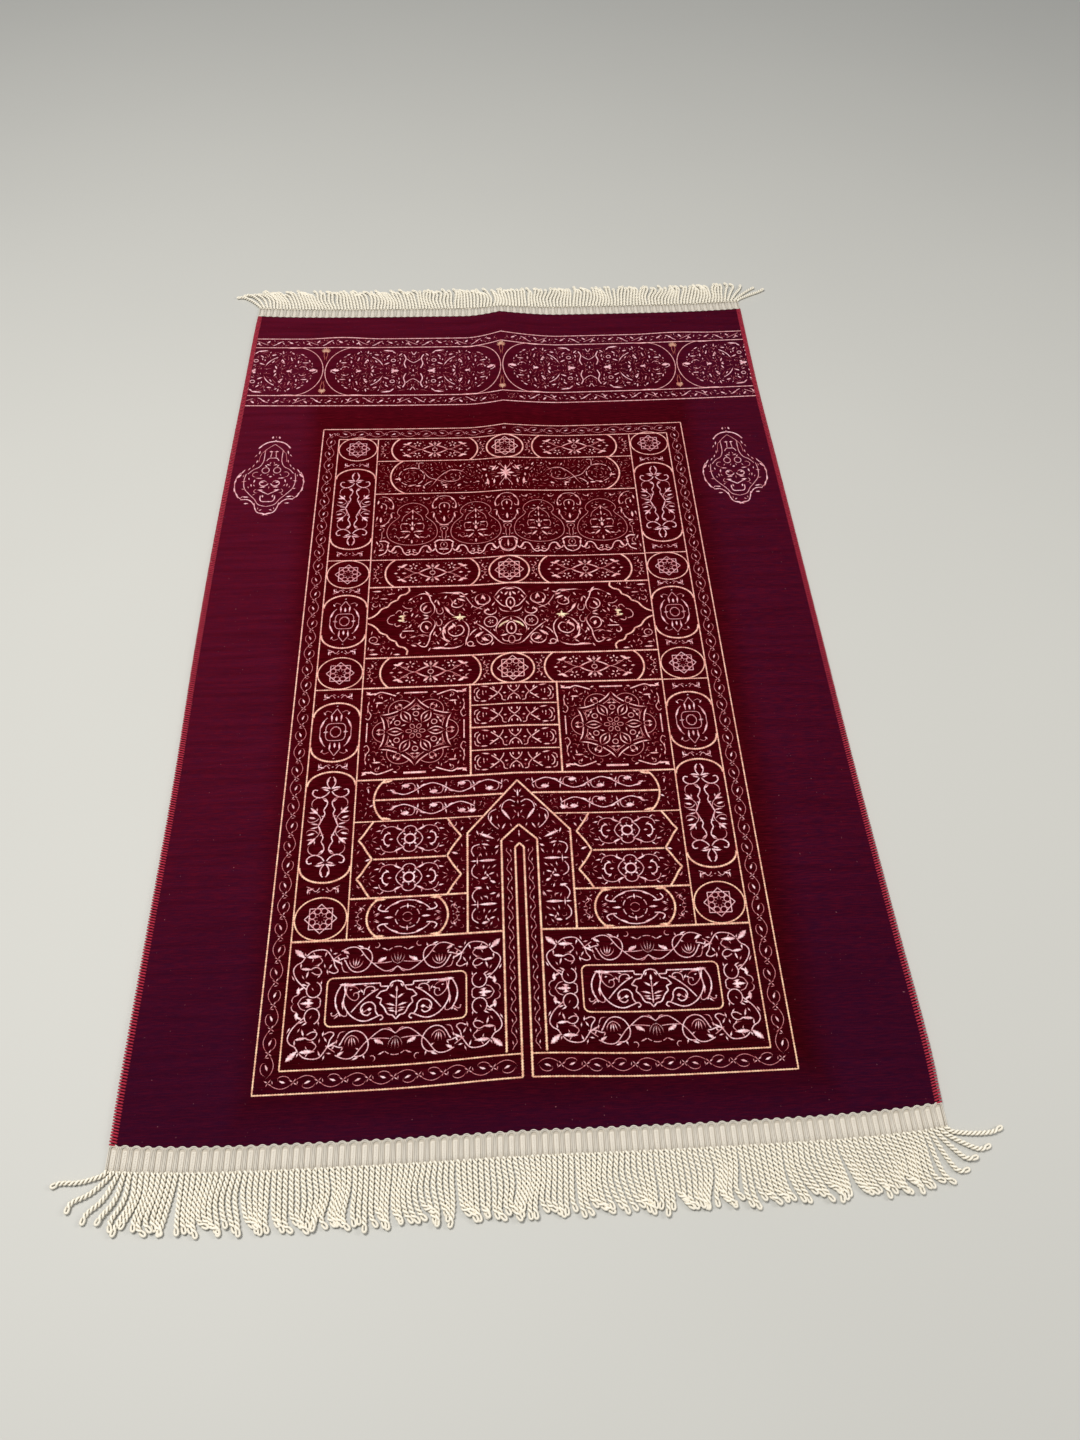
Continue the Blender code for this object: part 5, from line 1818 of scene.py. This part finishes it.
half_strip = [
    stem(
        1.5, (0, 31.4), (5, 28.2), (11, 27.2), (17, 30.6), (21.8, 34.8), (26.6, 39), (31, 44.6),
        (34.6, 49.4), (38.6, 51.8), (44.6, 51.6), (51.6, 48.4),
    ),
    pen(arc(0, 38, 12.4, 12.6, 48, 66), THIN), pen(arc(0, 38, 12.4, 12.6, 74, 90), THIN),
    tendril(THIN, 21, 50.8, 215, 9, -200),
] + put(tulip(), 0, 34) + stems(
    THIN, ((2.2, 29.6), (4.6, 26.8), (8.4, 26.2)), ((50.4, 33.4), (48.4, 28.6), (43.6, 27.4)),
    ((71.4, 43.8), (68.4, 39.8), (71.4, 36.2), (76.4, 35.4)), tip="z",
) + stems(
    THIN, ((5.4, 36), (12.4, 35.2), (21.6, 35.2)), ((52, 45.6), (56.4, 42.4), (60.2, 39.6)),
) + stems(
    1.6,
    (
        (34.8, 50.4), (28.4, 49.6), (24, 44.8), (23.6, 37.6), (27.8, 30.6), (34.2, 27.4), (40.6, 28.6),
        (44.8, 33.2), (47.4, 38.6),
    ),
    (
        (82.8, 45.2), (78.6, 49.2), (71.2, 50.8), (65.4, 49.8), (61.6, 45.4), (58.2, 39.6), (56.8, 34.4),
        (53.6, 29.4), (57.2, 27.2), (62.2, 29.4),
    ),
    ((58, 39.4), (53.4, 39.8), (49.2, 41.4), (45.8, 41.6)),
) + put(tulip(9.4), 38.4, 31.4, turn=6) + leaves(
    (18.4, 36, 150, 8.6, 5.8), (10.4, 41.4, -60, 5, 2.4), (8.6, 47.2, 20, 4.4, 1.6),
    (14.8, 49.8, 200, 5.4, 1.9), (27.6, 48.6, 110, 5, 1.9), (30.4, 45, -30, 5, 1.7), (31, 51, 20, 7, 2.4),
    (50.4, 49.2, 212, 7.4, 4), (54.8, 46.8, -10, 5, 2), (47, 45, -120, 4.6, 1.7), (64.6, 49, -70, 6, 2.2),
    (60.6, 47.8, 70, 5, 1.8), (52.6, 39.4, 60, 5.4, 2), (49, 40.8, -120, 5.6, 2), (50.6, 34, 80, 5, 1.9),
    (59.4, 36.4, -60, 6, 2.2), (63.6, 31.4, -100, 5.4, 2.2), (94, 52, 223, 13, 7.2),
    (82.8, 44.2, 180, 13.6, 5.4), (83.4, 44.6, 70, 4.6, 1.8), (75.4, 45.6, 60, 4, 1.8),
    (76.4, 42.6, -70, 4, 1.7), (60.4, 41.6, 206, 13, 2.6, 10), (66.4, 37, -100, 5, 1.7),
)
half_side = [
    stem(
        1.6, (84, 44.2), (87, 39.4), (91.2, 37), (93.8, 32.6), (92.8, 27.4), (89.8, 22), (85.8, 17.6),
        (80.4, 12.6),
    ),
    stem(THIN, (88, 8), (91.6, 6.4), (93, 2.6), (91, 0), tip="z"),
    pen(arc(74.2, 12.4, 6.6, 7.4, -250, 50), 1.6),
    stem(THIN, (80.4, 6.6), (84.2, 5.2), (86.4, 2), (87.6, -0.4)),
] + stems(
    1.5, ((78.4, 32), (73.8, 33.8), (69.8, 31.8), (68.6, 27.6), (72.8, 26.6), (77.4, 29.2)),
    ((70.6, 5.2), (67.8, 3.4), (67.6, 0)),
) + leaves(
    (87.6, 33, 187, 11, 3.8), (87.4, 38.8, -88, 6, 2.2), (80.2, 30.4, -74, 7.4, 2.4),
    (72.8, 33.8, 120, 5, 1.9), (69, 27, -50, 5, 1.8), (92.2, 21.6, 62, 6, 2), (86, 18.4, -160, 6.4, 2.2),
    (83.6, 22.6, 60, 5, 1.7), (88, 7.6, 92, 8, 4.8), (82.4, 15.2, -28, 8.6, 3), (77.6, 17.6, 30, 6, 2.2),
    (68.4, 16.4, 100, 5, 1.7), (74.4, 11.6, 60, 3.4, 1.6), (75.4, 3.4, -30, 6, 2),
    (80.8, 3.8, 190, 6.4, 2.2),
)
strips = across_line(half_strip + half_side)
flower = leaves((73.4, 0, 0, 12.4, 5), (76.4, 0, 62, 5.6, 2.2, -40), (76.4, 0, -62, 5.6, 2.2, 40))
draw("pale_oblongs", put(inner + over_line(strips) + across_line(flower), OBLONG, OBLONG_ROW))
print(len(drawn["pale_oblongs"]), "strokes in the near oblongs")

# %% [markdown]
# ### The far band and the side pendants
# A wide band crosses the far end from edge to edge. Long ovals meet at the crease and on both
# sides, and the outer ones run off the edge, as the cloth was cut from a longer repeat. In the
# plain ground below it, a pendant stands on each side.

# %% Draw the far band
BAND_LINES = (517.3, 497.2, 391.6, 370.4)
BAND_MIDDLE, OVAL_HALF, EDGE = 444.5, 121.7, 352.0
STRIP_ROWS, STRIP_STEP = (507.2, 381.0), 69


def oval_inside():
    """The inside of a long oval: dashes and broken scrolls about a clear middle."""
    quarter = [
        stem(1.8, (13.6, 36), (10.6, 27), (12.8, 16), (10, 6)), stem(THIN, (9, 26), (4.5, 20.6), (0, 17.6)),
        pen([(3.4, 42), (0.4, 35.4)], 1.3), pen(ring(28, 23, 3), THIN),
        stem(1.5, (57, 31), (50, 25.4), (45, 18.6), (41, 9), tip="z"),
        stem(THIN, (106, 5), (111, 2), (113, -4), tip="z"), pen(arc(93, 5, 5, 5, 20, 160), FINE),
    ] + leaves(
        (28, 44, 8, 15, 3.4), (30, 44, 228, 8, 2.2), (21, 33, 130, 8, 2.4), (19, 29, -100, 7, 2),
        (33, 35.5, -50, 8, 2.4), (33, 18, -30, 9, 2.8), (36, 29, -80, 5, 1.8), (24, 12.5, 20, 6, 1.6),
        (18.6, 20, -80, 6, 1.6), (40, 22, 90, 5, 1.6), (48, 35, 15, 7, 3), (62.6, 27, -65, 11, 2.2),
        (55, 12, -70, 9, 2.4), (53.6, 2.6, -40, 5, 2.6), (50, 18, 60, 7, 2), (68, 17, 150, 6, 2.4),
        (66, 10.4, 60, 4, 1.6), (62, 21, 70, 5, 2), (77, 22, 100, 5, 2.2), (75, 31, -80, 8, 1.8),
        (64, 38, 100, 8, 2), (79, 37, 130, 7, 2.2), (87, 38.6, -35, 8, 2), (85.6, 17, 90, 7, 2.4),
        (91, 18.4, 0, 10, 2.4), (92, 10, -30, 4, 2), (100, 25, -75, 6, 2.4), (83, 9, 100, 5, 1.8),
        (97, 30, 150, 6, 1.4), (72, 41, 60, 5, 1.4), (84, 28, 40, 5, 1.6), (45, 40, 60, 4, 1.6),
        (58, 40, -30, 5, 1.8), (105, 14, 100, 5, 1.4),
    )
    middle = leaves(
        (19.5, 0, 0, 11, 6.4), (26, 2, 30, 5, 3.6), (26, -2, -30, 5, 3.6), (70.6, 0, 0, 8, 5),
        (76, 0.6, 60, 4, 2), (76, -0.6, -60, 4, 2), (101, 1, 10, 11, 6.4), (100, 3, 130, 4, 2.4),
    )
    return fourfold(quarter) + across_line(middle) + [leaf(0, -3, 90, 7, 1.8), leaf(0, -12, 90, 4, 1.4)]


def oval_end():
    """One end of a long oval: half an ellipse that meets the next oval along a short upright."""
    return [
        pen(arc(OVAL_HALF - 41.5, 0, 40, 53, -90, 90), 1.5), leaf(OVAL_HALF - 56, 52.2, 0, 24, 3.6),
        leaf(OVAL_HALF - 56, -52.2, 0, 24, 3.6),
    ]


def palmette(size):
    """A palmette on two thin stems."""
    half = [leaf(0.5, 5, 90 - way, size * (1 - way / 260), 2.8, way / 2) for way in (20, 50, 85, 125)]
    half.append(stem(FINE, (1.8, 4), (2.4, -3), (1, -10), (2, -16), tip="z"))
    return across_line(half) + [leaf(0, 3, 90, size + 3.5, 3.4)]


for level in BAND_LINES:
    draw("blush_band", [pen([(0, level), (EDGE, level)], 2)])
for middle in (OVAL_HALF, 3 * OVAL_HALF):
    ends = oval_end()
    draw("blush_band", put(scaled(ends, -1), middle, BAND_MIDDLE))
    if middle < 200:
        draw("blush_band", put(ends, middle, BAND_MIDDLE))
    draw("pale_band", put(oval_inside(), middle, BAND_MIDDLE))
for at in (0, 2 * OVAL_HALF):
    draw("gilt_band", put(palmette(10.0), at, 483), mirrored=bool(at))
    draw("gilt_band", put(palmette(8.0), at, 409, turn=180), mirrored=bool(at))
strip = [
    stem(THIN, (14, 4), (19.5, 1.6), (24, -3.4), (28, -5.6)),
    stem(FINE, (34, -4), (40, -1), (47, 3.4), (51, 5.6)),
] + leaves(
    (0, -1.2, 35, 8, 3.2), (17, 3, -40, 8, 2.6), (12, -3, 60, 6, 1.5), (32, 5.4, -50, 7.5, 3),
    (48, 2.6, -110, 8, 2.4), (51, -3, 150, 6, 2), (54, -1, 70, 6, 1.6), (62, 4, -20, 6, 1.4),
    (60, -5, 30, 5, 1.4), (5, 5.6, -30, 5, 1.3), (26, 4, 80, 4, 1.3), (42, -5, 10, 5, 1.4),
)
for number in range(5):
    draw("pale_band", put(strip, 14 + number * STRIP_STEP, STRIP_ROWS[0]))
    draw("pale_band", put(scaled(strip, 1, -1), 22 + number * STRIP_STEP, STRIP_ROWS[1]))
print(len(drawn["pale_band"]), "strokes in the far band")

# %% Draw the side pendants
PENDANT = 293.6
side_figure = across_line(
    [
        stem(2.6, (0, 300.4), (8, 298.6), (14.6, 294), (19.6, 287)),
        stem(THIN, (0, 294.6), (4, 291), (9.6, 285), (13.6, 279)),
        stem(FINE, (14.6, 279), (16.4, 270), (17, 262)), pen([(2.6, 280), (3.4, 270.6)], 1.5),
        stem(1.7, (0, 268.8), (4.4, 269), (7.6, 264)), pen(ring(7, 246.4, 4.4, 5.2), 1.5),
        tendril(1.8, 1.6, 222, -70, 30, 360, 1.15),
    ] + stems(
        1.5, ((11, 283), (10.8, 272), (11.4, 262), (15, 253), (22, 247.6), (27.6, 240)),
        ((36.5, 242), (40.2, 233), (41.2, 222), (39.6, 210), (35.6, 200), (30, 193.6)),
        ((29.6, 240), (31, 228), (29, 214), (22, 203), (15, 194), (9.6, 184.6), (0, 180.8)),
    ) + stems(
        2, ((31, 193.4), (24, 193.8), (18.6, 190.4), (14.6, 184)),
        ((8.6, 200), (8.4, 194), (6, 190), (0, 189.6)),
    ) + stems(
        1.9, ((14.6, 187), (12.8, 178), (9, 170.6), (0, 167.2)), ((0, 202.6), (5, 206), (11, 209.8)),
    ) + tendrils(THIN, (16, 243, 20, 18, -230), (15, 212, -20, 12, -200)) + leaves(
        (17, 283, -80, 8, 2.2), (20, 276, -60, 6, 1.8), (18.5, 266, -80, 7, 1.9), (21.5, 258, -70, 7, 1.9),
        (25.6, 251.6, -60, 6, 2.2), (31, 249, -60, 12, 2.2), (35, 239.6, -56, 9, 4),
        (40, 231, -78, 10, 2.8), (41, 217, -96, 11, 2.8), (38, 206, -110, 11, 3), (34, 226, 170, 7, 1.8),
        (33, 213, 190, 6, 1.8), (33, 234, 100, 5, 1.6), (27, 186.6, 180, 6, 3.2), (22, 197.6, 10, 8, 3),
        (28, 200, -40, 6, 1.6), (7, 170.4, 205, 12, 3.4), (4, 176, -30, 5, 2), (9, 180, -80, 5, 1.5),
        (1, 281, 0, 5, 3.6), (1.6, 262, -70, 5, 1.6), (7, 257.6, -160, 6, 2.6), (5.6, 252.6, 50, 5, 2.4),
        (9, 231.6, 5, 9, 2.6), (6.6, 224.6, 0, 5, 2.8), (4, 216.4, -8, 8, 3), (6, 210, 6, 8, 3),
        (5.6, 197, 80, 5, 3), (18, 230, -80, 7, 2.4), (22, 222, -100, 6, 2.4), (17, 217, 60, 5, 1.6),
        (25, 229, 80, 5, 2), (24, 214, 70, 4, 1.8), (13, 236, 120, 5, 1.6), (15, 204, -40, 5, 1.6),
        (2.6, 240, -60, 4, 1.6), (4.6, 305, 100, 5, 3.6),
    ),
) + [dot(0, 301.8, 3), dot(0, 234.8, 4.2), leaf(0, 218, -90, 6, 1.6), leaf(0, 306, 90, 4, 1.4)]
draw("pale_pendants", put(side_figure, PENDANT))
print(len(drawn["pale_pendants"]), "strokes in the side pendants")

# %% [markdown]
# ### The filling
# The grounds between the figures are never empty: curls, hooks and dots fill them. They could be
# listed by hand, but a rule does it. The rug is read as a map of small cells, and each stroke
# makes the cells round it busy. Dice then give a place and a heading for a curl, and it stays
# if its cells are free. Long curls are thrown first, then shorter ones, down to dots.

# %% Mark what is busy
# The far band's strokes are broader, as it is seen at the lowest angle
BOLD = 1.3
drawn["pale_band"] = [(places, widths * BOLD) for places, widths in drawn["pale_band"]]
CELL, CLEAR = 0.5, 2.2
FAINT = 0.8
EDGE_CLEAR = 1.4
MAP_CORNER = np.array((-10.0, -600.0))
near = np.arange(-4, 5)
disc = np.array([(i, j) for i in near for j in near if math.hypot(i, j) * CELL <= CLEAR])
busy = np.zeros((1020, 2400), bool)


def cells(places):
    """The map's cells under some places."""
    return np.round((places - MAP_CORNER) / CELL).astype(int)


def free(places):
    """Whether every cell under some places is free."""
    spots = cells(places)
    return not busy[spots[:, 0], spots[:, 1]].any()


def mark(places):
    """Makes the cells near some places busy."""
    spots = cells(places[places[:, 0] > -6])[:, None] + disc
    busy[spots[..., 0], spots[..., 1]] = True


for strokes in drawn.values():
    for stroke in strokes:
        mark(resample(*stroke, 0.9)[0])
print(round(busy.mean() * 100), "per cent of the map is busy")


# %% Fill the panels
def fill(piece, x, y, half_wide, half_high, corner=0.0, folded=True, longest=16.0, throws=0.2, bent=True):
    """Fills a panel with curls, or with dashes where not bent. folded fills a quarter and mirrors it."""
    dice = np.random.default_rng(int(half_wide * 31 + half_high))
    middle, half = np.array((x, y)), np.array((half_wide, half_high))
    added = []
    for long in longest * np.array((1.0, 0.75, 0.55, 0.38, 0.2)):
        for _ in range(int(half_wide * half_high * throws * (1 if folded else 2))):
            spot = dice.uniform(0 if folded else -1, 1, 2) * half
            heading, way = dice.uniform(0, 360), dice.choice((-1, 1))
            if not bent:
                heading = heading * 0.2 + dice.choice((-36, 54, 54))
            places = curl(*spot, heading, long, way * dice.uniform(*((140, 270) if bent else (5, 80))), 1.3)
            past = np.abs(places) - (half - corner)
            depth = np.hypot(*np.maximum(past, 0).T) + np.minimum(past.max(1), 0) - corner
            if (depth > -EDGE_CLEAR).any() or (folded and (places < 1.0).any()) or not free(places + middle):
                continue
            places = places + middle
            bud = leaf(*places[2], heading - way * 75, long * 0.3, 1.6, way * 30)
            if long > 7 and free(bud[0]):
                added.append(bud)
            added.append(pen(places, FAINT if long > 4 else THIN, "az" if long < 9 else "z"))
            mark(places)
    draw(piece, fourfold(added, x, y) if folded else added)
    return len(added)


fillings = [
    fill("pale_band", at, BAND_MIDDLE, 108, 46, 42, longest=10, throws=0.07, bent=False)
    for at in (OVAL_HALF, 3 * OVAL_HALF)
]
for level in STRIP_ROWS:
    fillings.append(fill("pale_band", 174, level, 172, 8, folded=False, longest=11, throws=0.12))
for top, bottom in BANDS:
    middle, half = (top + bottom) / 2, (top - bottom) / 2
    fillings.append(fill("blush_rows", 90, middle, 46, half - 3, 16, longest=5, throws=0.02))
    for at in (30, 154):
        fillings.append(fill("blush_rows", at, middle, 8, half - 1, folded=False, longest=7, throws=0.04))
fillings.append(fill("blush_rows", 82, LONG_ROW, 80, 29, folded=False, longest=7, throws=0.07, bent=False))
fillings.append(fill("blush_row_three", 81, 143, 81, 54, folded=False, longest=9, throws=0.04))
fillings.append(fill("blush_middle", 66, -9, 60, 42, 24, folded=False, longest=9, throws=0.08))
for level in (27, -44):
    fillings.append(fill("blush_middle", 148, level, 14, 16, folded=False, longest=8, throws=0.14))
fillings.append(fill("blush_medallions", *MEDAL, 55, 55, longest=9, throws=0.04))
for level in BAR_LEVELS:
    fillings.append(fill("blush_medallions", 23.5, level, 22, 13, folded=False, longest=9, throws=0.05))
for level, half in ((-234, 11), (-258, 11), *((row, 20) for row in (*POINTED_ROWS, ROUND_ROW))):
    fillings.append(fill("pale_niche", 107, level, 55, half, folded=False, longest=7, throws=0.04))
fillings.append(fill("pale_niche", 34, -320, 17, 75, folded=False, longest=8, throws=0.05))
print(sum(fillings), "strokes of filling on one side of the crease")

# %% [markdown]
# ### Weaving the strokes in
# Each stroke becomes a strip of yarn. Its two edges are sunk in the pile, and its crown stands a
# third to half a millimetre proud. Gold yarn swells and sinks once a stitch, which gives the
# frames their beaded look; pale yarn does so less. The edges, and the crowns of the thinnest
# strokes, take the red of the pile that closes over them.

# %% Weave the strokes
PATTERN_SHIFT, PATTERN_SHRINK = 4.2, 0.9969
STROKE_EDGE = 343.8
# Columns: the step between stitches in millimetres, how wide and narrow a stroke gets, how high
# and low its crown is in millimetres, and how much all and the thinnest strokes swell or shrink
STITCH = {
    "gold": (1.25, 1.10, 0.82, 0.45, 0.12, 1.2, 1.0),
    "gilt": (1.25, 1.15, 0.88, 0.40, 0.2, 1.2, 1.0),
    "knot": (1.25, 1.15, 0.92, 0.40, 0.25, 1.25, 1.0),
    "pale": (1.24, 1.15, 0.88, 0.28, 0.14, 1.22, 0.9),
    "blush": (1.24, 1.15, 0.88, 0.28, 0.14, 1.4, 0.9),
}
SUNK = 0.16
# How red with pile a stroke is: at its edges, and on the crown of the thinnest ones
EDGE_RED, THIN_RED = 0.92, 0.85


def strip_rows(places, widths, step, wide, narrow, high, low, swell, slim):
    """Rows of three points across a stroke (left edge, crown, right edge), and how red each is."""
    places, widths = resample(places, widths, step)
    along = np.gradient(places, axis=0)
    along /= np.maximum(np.hypot(*along.T), 1e-9)[:, None]
    across = np.stack([-along[:, 1], along[:, 0]], 1)
    beat = np.arange(len(places)) % 2 == 0
    widths = widths * np.clip(slim + 0.22 * (widths - 1.2), slim, 1) * swell
    even = np.clip(1.6 / np.maximum(widths, 0.1), 0.25, 1)
    half = widths / 2 * (1 + (np.where(beat, wide, narrow) - 1) * even)
    slight = np.clip(widths / 1.4, 0.3, 1)
    crown = CLOTH_THICK / MM + np.where(beat, high, low) * slight
    edge = np.full(len(places), CLOTH_THICK / MM - SUNK)
    rows = []
    for side, height in ((half, edge), (0, crown), (-half, edge)):
        x, y = (places + across * np.reshape(side, (-1, 1))).T
        rows.append(np.stack([x + CREASE_X / MM, y * PATTERN_SHRINK + PATTERN_SHIFT, height], 1))
    red = THIN_RED * np.clip((2.4 - widths) / 1.4, 0, 1)
    edge_red = np.full(len(red), EDGE_RED)
    return np.stack(rows, 1) * MM, np.stack([edge_red, red, edge_red], 1)


def weave(name, yarn, slot):
    """Makes one piece of the pattern from its strokes."""
    points, reds, faces, base = [], [], [], 0
    left_end, right_end = -STROKE_EDGE - CREASE_X / MM, STROKE_EDGE - CREASE_X / MM
    for places, widths in drawn[name]:
        keep = np.abs(places[:, 0] + CREASE_X / MM) < STROKE_EDGE
        if not keep.all():
            if len(places) == 2:
                places = np.clip(places, (left_end, -np.inf), (right_end, np.inf))
            else:
                run = np.flatnonzero(keep)
                if len(run) < 2 or run[-1] - run[0] != len(run) - 1:
                    continue
                places, widths = places[run], widths[run]
        rows, red = strip_rows(places, widths, *STITCH[name.split("_")[0]])
        count = len(rows)
        points.append(rows.reshape(-1, 3))
        reds.append(red.ravel())
        k = base + 3 * np.arange(count - 1)
        for a, b in ((0, 1), (1, 2), (2, 0)):
            faces.append(np.stack([k + a, k + a + 3, k + b + 3, k + b], 1))
        last = base + 3 * (count - 1)
        faces.append(np.array([[base, base + 1, base + 2, base + 2], [last + 2, last + 1, last, last]]))
        base += 3 * count
    points = lay(np.concatenate(points))
    cells = [tuple(dict.fromkeys(face)) for face in np.concatenate(faces).tolist()]
    return make_piece(name, points, cells, yarn, hollows=np.concatenate(reds))


# The finish and the slot of each kind of stroke
YARNS = {
    "gold": (gold_yarn, "gold_yarn"),
    "gilt": (gilt_yarn, "gold_yarn"),
    "knot": (knot_yarn, "gold_yarn"),
    "pale": (pale_yarn, "pale_yarn"),
    "blush": (blush_yarn, "pale_yarn"),
}
woven = [weave(name, *YARNS[name.split("_")[0]]) for name in drawn]
print(sum(made[piece.name] for piece in woven), "triangles in the pattern")

# %% [markdown]

# %% [markdown]
# ## The last count
# The triangles of every piece are added up.

# %% Count the triangles
print(sum(made.values()), "triangles in all")
